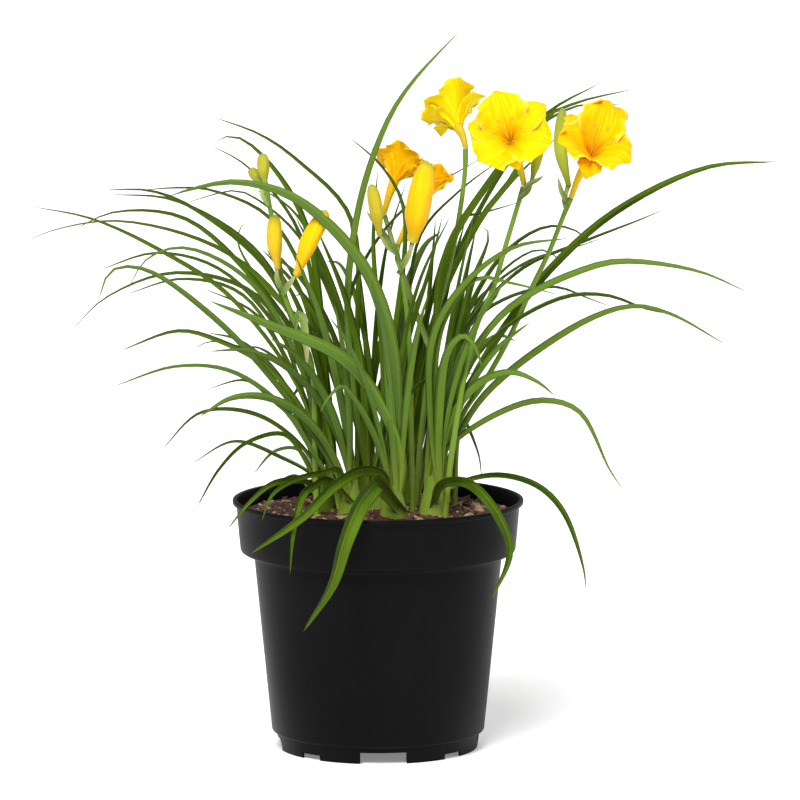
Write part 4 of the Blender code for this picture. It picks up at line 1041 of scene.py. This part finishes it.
def buildScatter():
    tree = TreeMaker("barkScatter")
    ids = {
        "chips": tree.socket("Chips", 'NodeSocketCollection'),
        "density": tree.socket("Density", 'NodeSocketFloat', 50000.0),
        "small": tree.socket("Smallest", 'NodeSocketFloat', 0.002),
        "large": tree.socket("Largest", 'NodeSocketFloat', 0.008),
        "seed": tree.socket("Seed", 'NodeSocketInt', 1),
        "material": tree.socket("Material", 'NodeSocketMaterial'),
    }
    start = tree.node('NodeGroupInput').outputs
    spread = tree.node('GeometryNodeDistributePointsOnFaces', {"Mesh": start["Geometry"], "Density": start["Density"],
                                                               "Seed": start["Seed"]})
    parts = tree.node('GeometryNodeCollectionInfo', {"Collection": start["Chips"], "Separate Children": True,
                                                     "Reset Children": True}).outputs[0]
    size = tree.node('FunctionNodeRandomValue', {2: start["Smallest"], 3: start["Largest"], "Seed": start["Seed"]},
                     data_type='FLOAT').outputs[1]
    turn = tree.node('FunctionNodeRandomValue', {0: (-0.5, -0.5, 0.0), 1: (0.5, 0.5, 6.283), "Seed": 3},
                     data_type='FLOAT_VECTOR').outputs[0]
    tone = tree.node('FunctionNodeRandomValue', {2: 0.0, 3: 1.0, "Seed": 5}, data_type='FLOAT').outputs[1]
    spots = tree.store(spread.outputs[0], "chipTone", tone)
    laid = tree.node('GeometryNodeInstanceOnPoints', {"Points": spots, "Instance": parts, "Pick Instance": True,
                                                      "Rotation": turn, "Scale": size})
    tree.finish(laid.outputs[0], start["Material"])
    return tree.group, ids


def soilHeight(x, y):
    reach = math.hypot(x, y)
    base = soil["middle"] + (soil["edge"] - soil["middle"]) * min(reach / 92.0, 1.0) ** 1.3
    rough = noise.noise(Vector((x, y, 0.0)) * 0.061) * 1.6 + noise.noise(Vector((x, y, 3.0)) * 0.17) * 0.8
    return base + rough * min((104.0 - reach) / 12.0, 1.0)


def soilRing(radius, height=None):
    # A ring of points, on the rough top where no height is given
    ring = []
    for k in range(soil["around"]):
        angle = math.tau * k / soil["around"]
        x, y = radius * math.cos(angle), radius * math.sin(angle)
        ring.append((x * mm, y * mm, (soilHeight(x, y) if height is None else height) * mm))
    return ring


def makeSoil():
    count, around = soil["rings"], soil["around"]
    points = [(0.0, 0.0, soilHeight(0, 0) * mm)]
    for i in range(1, count + 1):
        points += soilRing(soil["radius"] * i / count)
    faces = [(0, 1 + k, 1 + (k + 1) % around) for k in range(around)]

    def addBand(start):
        for k in range(around):
            n = (k + 1) % around
            faces.append((start + k, start + around + k, start + around + n, start + n))

    for i in range(count - 1):
        addBand(1 + i * around)
    top = bpy.data.meshes.new("soilTop")  # the chips are scattered on it
    top.from_pydata(points, [], faces)
    for radius, height in soilSide:
        addBand(len(points) - around)
        points += soilRing(radius, height)
    faces.append(tuple(len(points) - around + k for k in range(around - 1, -1, -1)))
    mesh = bpy.data.meshes.new("pottingSoil")
    mesh.from_pydata(points, [], faces)
    outward(mesh)
    mesh.shade_smooth()
    mesh.materials.append(looks["soil"])
    piece = linkObject("pottingSoil", mesh)
    dress(piece, ["soil"])
    rng = random.Random(soil["seed"])
    group = bpy.data.collections.new("chipShapes")
    shapes = []
    for i in range(soil["shapes"]):
        shape = bpy.data.objects.new("chipShape%d" % i, chipMesh("chipShape%d" % i, rng))
        group.objects.link(shape)
        shapes.append(shape)
    scatterTree, ids = buildScatter()
    bark = linkObject("barkChips", top)
    step = bark.modifiers.new("scatter", 'NODES')
    step.node_group = scatterTree
    area = math.pi * soil["scatterRadius"] ** 2
    step[ids["chips"]] = group
    step[ids["density"]] = soil["chips"] / area
    step[ids["small"]] = soil["smallest"]
    step[ids["large"]] = soil["largest"]
    step[ids["seed"]] = soil["seed"]
    step[ids["material"]] = looks["chip"]
    plainMesh(bark)
    keepBodies(bark.data, lambda body, _: all(
        math.hypot(vert.co.x, vert.co.y) < soil["chipReach"] and vert.co.z < soil["chipTop"] for vert in body))
    discard(shapes, group)
    alsoThere(bark)
    print("bark", len(bark.data.polygons), "faces")


# Leaf fans

def makeFans(leaves):
    for fan, (right, behind, turn) in fans.items():
        rng = random.Random(fan)
        angle = math.radians(turn)
        across = Vector((math.cos(angle), math.sin(angle), 0.0))
        upper = Vector((-math.sin(angle), math.cos(angle), 0.0))
        crown = []
        for i in range(13):
            share = i / 12
            height = sheath["foot"] + (sheath["top"] + 6.0 - sheath["foot"]) * share
            scale = 1.0 if share < 0.4 else 1.0 - 0.72 * ((share - 0.4) / 0.6) ** 1.2
            crown.append({"centre": Vector((right, behind, height)), "across": across, "upper": upper,
                          "half": sheath["length"] * scale * 0.95, "depth": sheath["depth"] * scale * 0.95,
                          "share": share * 0.1, "tone": 0.5, "run": 10.0 + 30.0 * share})
        lines = [crown]
        for leaf in leaves:
            if leaf["fan"] == fan:
                # Painted shade: leaves hidden inside the clump and leaves hanging below the rim get only the darker
                # tones
                low, high = (0.0, 0.3) if leaf.get("hidden") or leaf["line"][-1].z < 175.0 else (0.05, 0.95)
                tone = rng.uniform(low, high)
                lines.append(leafLine(leaf, 30, tone))
        piece = sweep("leafFan_" + fan, lines, looks["leaf"])
        dress(piece, ["leaf_fan_" + fan])
    print("fans", len(fans))


# Stalks, buds and blooms

def seenPath(points, steps):
    return curveThrough([fromView(*point) for point in points], steps)[0]


def bractLine(line, width):
    leaf = {"line": line, "width": width, "hand": 1.0, "shows": 1.0, "roll": math.radians(20.0), "twist": 0.0,
            "toward": Vector((0.0, -1.0, 0.0))}
    return leafLine(leaf, 14, 0.5)


def makeStalks():
    for name, scape in scapes.items():
        path = seenPath(scape["stem"], 40)
        radii = [2.35 - 0.55 * i / 40 for i in range(41)]
        radii[-1] += 0.35
        radii[-2] += 0.35
        lines = [roundLine(path, radii, 0.4, 0.03)]
        for branch in scape["branches"]:
            line = seenPath(branch, 10)
            lines.append(roundLine(line, [1.9] * 2 + [1.45] * 6 + [1.6, 1.75, 1.9], 0.6, 0.05))
        piece = sweep(name.replace("scape", "stalk"), lines, looks["stem"], 12)
        dress(piece, [name])
        papers = []
        for points, width in scape["bracts"]:
            papers.append(bractLine([fromView(*point) for point in points], width))
        for branch in scape["branches"]:
            line = [point + Vector((0.0, -2.2, 0.0)) for point in seenPath(branch, 3)]
            line[0] -= (line[1] - line[0]) * 0.4
            papers.append(bractLine(line, 6.0))
        if papers:
            sheaf = sweep(name.replace("scape", "bracts"), papers, looks["bract"], 12, 5.0)
            alsoThere(sheaf)
    print("stalks", len(scapes))


# A bud or bloom starts just off the end of its stalk or branch
def seatedPath(stalk, branch, points, steps):
    scape = scapes[stalk]
    path = seenPath(scape["stem"], 8) if branch is None else seenPath(scape["branches"][branch], 3)
    along = (path[-1] - path[-2]).normalized()
    foot = path[-1] + along * gap
    line, _ = curveThrough([foot + along * 1.2] + [fromView(*point) for point in points], steps)
    return [foot] + line


# Each bud's ripeness, and how far up it is fullest
budForms = {"bud_left_upright": (0.7, 0.5), "bud_left_slanted": (1.0, 0.5), "bud_top_large": (0.2, 0.5),
            "bud_top_small": (0.1, 0.5), "bud_green": (0.4, 0.5), "bud_large": (1.0, 0.36), "bud_narrow": (0.05, 0.5),
            "bud_long": (0.05, 0.5)}


def makeBuds():
    for name, (stalk, branch, points, radius) in buds.items():
        path = seatedPath(stalk, branch, points, 26)
        ripe, fullest = budForms[name]
        radii = []
        for i in range(len(path)):
            share = max(i - 1, 0) / (len(path) - 2)
            swell = 0.46 + 0.62 * math.sin(math.pi * min(share / fullest, 1.0) / 2) ** 1.7
            if share > fullest:
                swell *= max(1.0 - ((share - fullest) / (1.0 - fullest)) ** 3.4, 0.0) ** 0.5
            radii.append(max(radius * swell, 1.5 if share < 0.1 else 0.0))
        line = roundLine(path, radii, ripe, 0.0)
        for i, station in enumerate(line):
            share = i / (len(line) - 1)
            station["ridge"] = 0.10 * math.sin(math.pi * min(share * 1.15, 1.0))
        piece = sweep(name.replace("_", ""), [line], looks["bud"], 24)
        dress(piece, [name])
    print("buds", len(buds))


# Each bloom's colour, how far its petals reach, their widths, and how deep their edges ruffle
bloomForms = {
    "bloom_front": {"look": "lemonPetal", "reach": 1.0, "wide": 39.0, "narrow": 21.0, "ruffle": 3.6},
    "bloom_right": {"look": "goldenPetal", "reach": 1.0, "wide": 37.0, "narrow": 20.0, "ruffle": 3.4},
    "bloom_behind": {"look": "lemonPetal", "reach": 1.02, "wide": 33.0, "narrow": 17.0, "ruffle": 3.2},
    "bloom_turned": {"look": "goldenPetal", "reach": 1.0, "wide": 27.0, "narrow": 15.0, "ruffle": 3.2},
    "bloom_half_open": {"look": "goldenPetal", "reach": 1.0, "wide": 23.0, "narrow": 14.0, "ruffle": 2.6},
}


# One petal as a grid of places with their across and along shares, from the throat outwards
def petalSheet(axis, around, throat, wide, spread, opening, ruffle, phase, rows, columns, recurve):
    tangential = axis.cross(around).normalized()
    sheet = []
    centre = throat - axis * 5.0 + around * 1.0
    for i in range(rows + 1):
        share = i / rows
        bend = math.radians(14.0 + (78.0 * opening) * share ** 1.15 + (14.0 + recurve) * opening * share ** 3)
        if i:
            centre = centre + (axis * math.cos(bend) + around * math.sin(bend)) * (spread * 1.12 / rows)
        face = (axis * math.sin(bend) - around * math.cos(bend)).normalized()
        breadth = wide * (0.20 + 0.80 * math.sin(math.pi * min(share / 0.62, 1.0) / 2) ** 1.1)
        breadth *= max(1.0 - (max(share - 0.56, 0.0) / 0.47) ** 2.6, 0.0) ** 0.55
        row = []
        for j in range(columns + 1):
            at = -1.0 + 2.0 * j / columns
            wave = ruffle * share * math.sin(phase + 11.0 * share + 2.6 * at) * abs(at) ** 1.6
            wave += ruffle * 0.55 * share * math.sin(phase * 2.1 + 27.0 * share + 5.0 * at) * abs(at) ** 2.5
            cup = 0.16 * breadth * (1.0 - share) * at * at
            keel = -1.4 * math.exp(-(at / 0.16) ** 2) * (1.0 - 0.5 * share)
            back = -(at * at) * (1.5 + 3.5 * share ** 2) * max(share - 0.75, 0.0) * 4.0
            back -= 0.4 * ruffle * share ** 3 * (1.0 + math.sin(8.0 * at + phase * 3.0)) * abs(at)
            crimp = 0.6 * ruffle * share * math.sin(phase * 1.3 + 24.0 * share) * at * abs(at) ** 3
            row.append((centre + tangential * (at * breadth / 2 + crimp) + face * (wave + cup + keel)
                        + (axis * math.cos(bend) + around * math.sin(bend)) * back, at, share))
        sheet.append(row)
    return sheet


def sheetMesh(name, sheets, thickness):
    # Petals as closed sheets with two faces, and across, along and inner or outer values for their look
    points, faces = [], []
    values = {"side": [], "share": [], "face": [], "tone": []}
    for number, sheet in enumerate(sheets):
        count, wide = len(sheet), len(sheet[0])
        start = len(points)
        for layer in (1.0, -1.0):
            for i in range(count):
                for j in range(wide):
                    place, at, share = sheet[i][j]
                    down = sheet[min(i + 1, count - 1)][j][0] - sheet[max(i - 1, 0)][j][0]
                    over = sheet[i][min(j + 1, wide - 1)][0] - sheet[i][max(j - 1, 0)][0]
                    normal = over.cross(down).normalized()
                    edge = min(j, wide - 1 - j, count - 1 - i)
                    thick = thickness * (0.35 if edge == 0 else 1.0)
                    points.append(tuple((place + normal * (layer * thick / 2)) * mm))
                    values["side"].append(at)
                    values["share"].append(share)
                    values["face"].append(-layer)  # 1 on the inner face
                    values["tone"].append((number * 0.37) % 1.0)
        low = start + count * wide
        for i in range(count - 1):
            for j in range(wide - 1):
                a = start + i * wide + j
                faces.append((a, a + 1, a + wide + 1, a + wide))
                b = low + i * wide + j
                faces.append((b, b + wide, b + wide + 1, b + 1))
        loop = [(0, j) for j in range(wide)] + [(i, wide - 1) for i in range(1, count)]
        loop += [(count - 1, j) for j in range(wide - 2, -1, -1)] + [(i, 0) for i in range(count - 2, 0, -1)]
        for (i, j), (m, n) in zip(loop, loop[1:] + loop[:1]):
            faces.append((start + i * wide + j, low + i * wide + j, low + m * wide + n, start + m * wide + n))
    mesh = bpy.data.meshes.new(name)
    mesh.from_pydata(points, [], faces)
    for key, numbers in values.items():
        mesh.attributes.new(key, 'FLOAT', 'POINT').data.foreach_set("value", numbers)
    outward(mesh)
    mesh.shade_smooth()
    return mesh


def stamenLines(axis, across, upward, throat, turn, opening):
    threads = []
    for k in range(7):  # six stamens and the pistil
        pistil = k == 6
        angle = math.radians(turn + 30.0 + 60.0 * k)
        around = (across * math.cos(angle) + upward * math.sin(angle)).normalized()
        reach = (37.0 if pistil else 30.0) * (0.8 if opening < 0.9 else 0.9)
        flare = 1.5 if pistil else 9.0
        base = throat + axis * -1.0 + around * 1.2
        line, _ = curveThrough([base, base + axis * (reach * 0.55) + around * (flare * 0.5),
                                base + axis * (reach * 0.86) + around * flare,
                                base + axis * reach + around * (flare * 1.1)], 22)
        radii = [0.36 - 0.1 * i / 22 for i in range(23)]
        tip = [0.4, 0.55, 0.1] if pistil else [0.4, 0.8, 0.85, 0.1]
        radii[-len(tip):] = tip
        threads.append(roundLine(line, radii, 1.0 if pistil else 0.0))
    return threads


def makeBlooms():
    for name, (stalk, branch, points, facing, turn, spread, opening) in blooms.items():
        form = bloomForms[name]
        rng = random.Random(name)
        axis = (fromView(*facing) - fromView(0.0, 0.0, 0.0)).normalized()
        throat = fromView(*points[-1])
        across = (Vector((1.0, 0.0, 0.0)) - axis * axis.x).normalized()
        upward = across.cross(axis) if across.cross(axis).z > 0 else axis.cross(across)
        sheets = []
        for k in (1, 3, 5, 0, 2, 4):
            angle = math.radians(turn + 60.0 * k + rng.uniform(-7.0, 7.0))
            around = (across * math.cos(angle) + upward * math.sin(angle)).normalized()
            broad = k % 2 == 0
            width, ruffle = (form["wide"], form["ruffle"]) if broad else (form["narrow"], 1.2)
            columns, recurve = (16, 0.0) if broad else (12, 40.0)
            reach = spread * form["reach"] * rng.uniform(0.9, 1.08) * (1.0 + 0.16 * around.z)
            sheets.append(petalSheet(axis, around, throat + axis * (1.5 if broad else -0.5), width, reach,
                                     opening * rng.uniform(0.84, 1.12), ruffle, rng.uniform(0.0, 6.0), 26,
                                     columns, recurve))
        mesh = sheetMesh(name, sheets, 0.5)
        mesh.materials.append(looks[form["look"]])
        piece = linkObject(name.replace("_", ""), mesh)
        dress(piece, [name])
        path = seatedPath(stalk, branch, points, 14)
        path[-1] -= (path[-1] - path[-2]).normalized() * 1.6
        radii = [2.1 + 2.2 * (i / (len(path) - 1)) ** 1.6 for i in range(len(path))]
        tube = roundLine(path, radii, 0.8 if form["look"] == "goldenPetal" else 0.55, 0.05)
        for i, station in enumerate(tube):
            station["share"] = 0.75 * i / len(tube)
        alsoThere(sweep(name.replace("_", "") + "Tube", [tube], looks["bud"], 18))
        threads = stamenLines(axis, across, upward, throat, turn, opening)
        alsoThere(sweep(name.replace("_", "") + "Stamens", threads, looks["stamen"], 8))
    print("blooms", len(blooms))


# Room, light and camera

view = {"distance": 5.0, "focal": 6626.0, "aimHeight": 0.265, "aimRight": 0.0166, "sensor": 36.0, "pixels": 800.0,
        "floorReach": 14.0, "floorGlow": 0.22, "worldLight": 0.3}
suns = {  # strength, spread in degrees, and where the light comes from
    "keyLight": (3.6, 30.0, (-0.32, -0.9, 1.15)),
    "fillLight": (0.5, 60.0, (0.9, -0.8, 0.7)),
    "backLight": (0.8, 40.0, (0.2, 1.0, 1.0)),
}


def sunLight(name, strength, spread, origin):
    data = bpy.data.lights.new(name, 'SUN')
    data.energy = strength
    data.angle = math.radians(spread)
    lamp = bpy.data.objects.new(name, data)
    bpy.context.scene.collection.objects.link(lamp)
    lamp.rotation_euler = Vector(origin).to_track_quat('Z', 'Y').to_euler()


def makeRoom():
    scene = bpy.context.scene
    floorMesh = bpy.data.meshes.new("studioFloor")
    far = view["floorReach"]
    floorMesh.from_pydata([(-far, -far, 0), (far, -far, 0), (far, far, 0), (-far, far, 0)], [], [(0, 1, 2, 3)])
    pale = Look("paleFloor", 0.9)
    pale.set({"Base Color": (0.92, 0.92, 0.92, 1.0), "Emission Color": (1.0, 1.0, 1.0, 1.0),
              "Emission Strength": view["floorGlow"]})
    floorMesh.materials.append(pale.material)
    linkObject("studioFloor", floorMesh)
    world = bpy.data.worlds.new("studioWorld")
    world.use_nodes = True
    sky = world.node_tree.nodes["Background"].inputs
    sky["Color"].default_value = (1.0, 1.0, 1.0, 1.0)
    sky["Strength"].default_value = view["worldLight"]
    scene.world = world
    for name, (strength, spread, origin) in suns.items():
        sunLight(name, strength, spread, origin)
    data = bpy.data.cameras.new("photoCamera")
    data.sensor_width = view["sensor"]
    data.lens = view["focal"] * view["sensor"] / view["pixels"]
    data.clip_end = 50.0
    camera = bpy.data.objects.new("photoCamera", data)
    scene.collection.objects.link(camera)
    aim = Vector((view["aimRight"], 0.0, view["aimHeight"]))
    camera.location = aim + Vector((0.0, -math.cos(viewTilt), math.sin(viewTilt))) * view["distance"]
    camera.rotation_euler = (aim - camera.location).to_track_quat('-Z', 'Y').to_euler()
    scene.camera = camera
    scene.view_settings.view_transform = 'Standard'
    scene.view_settings.look = 'None'


makePot()
makeSoil()
makeFans(growLeaves())
makeStalks()
makeBuds()
makeBlooms()
makeRoom()
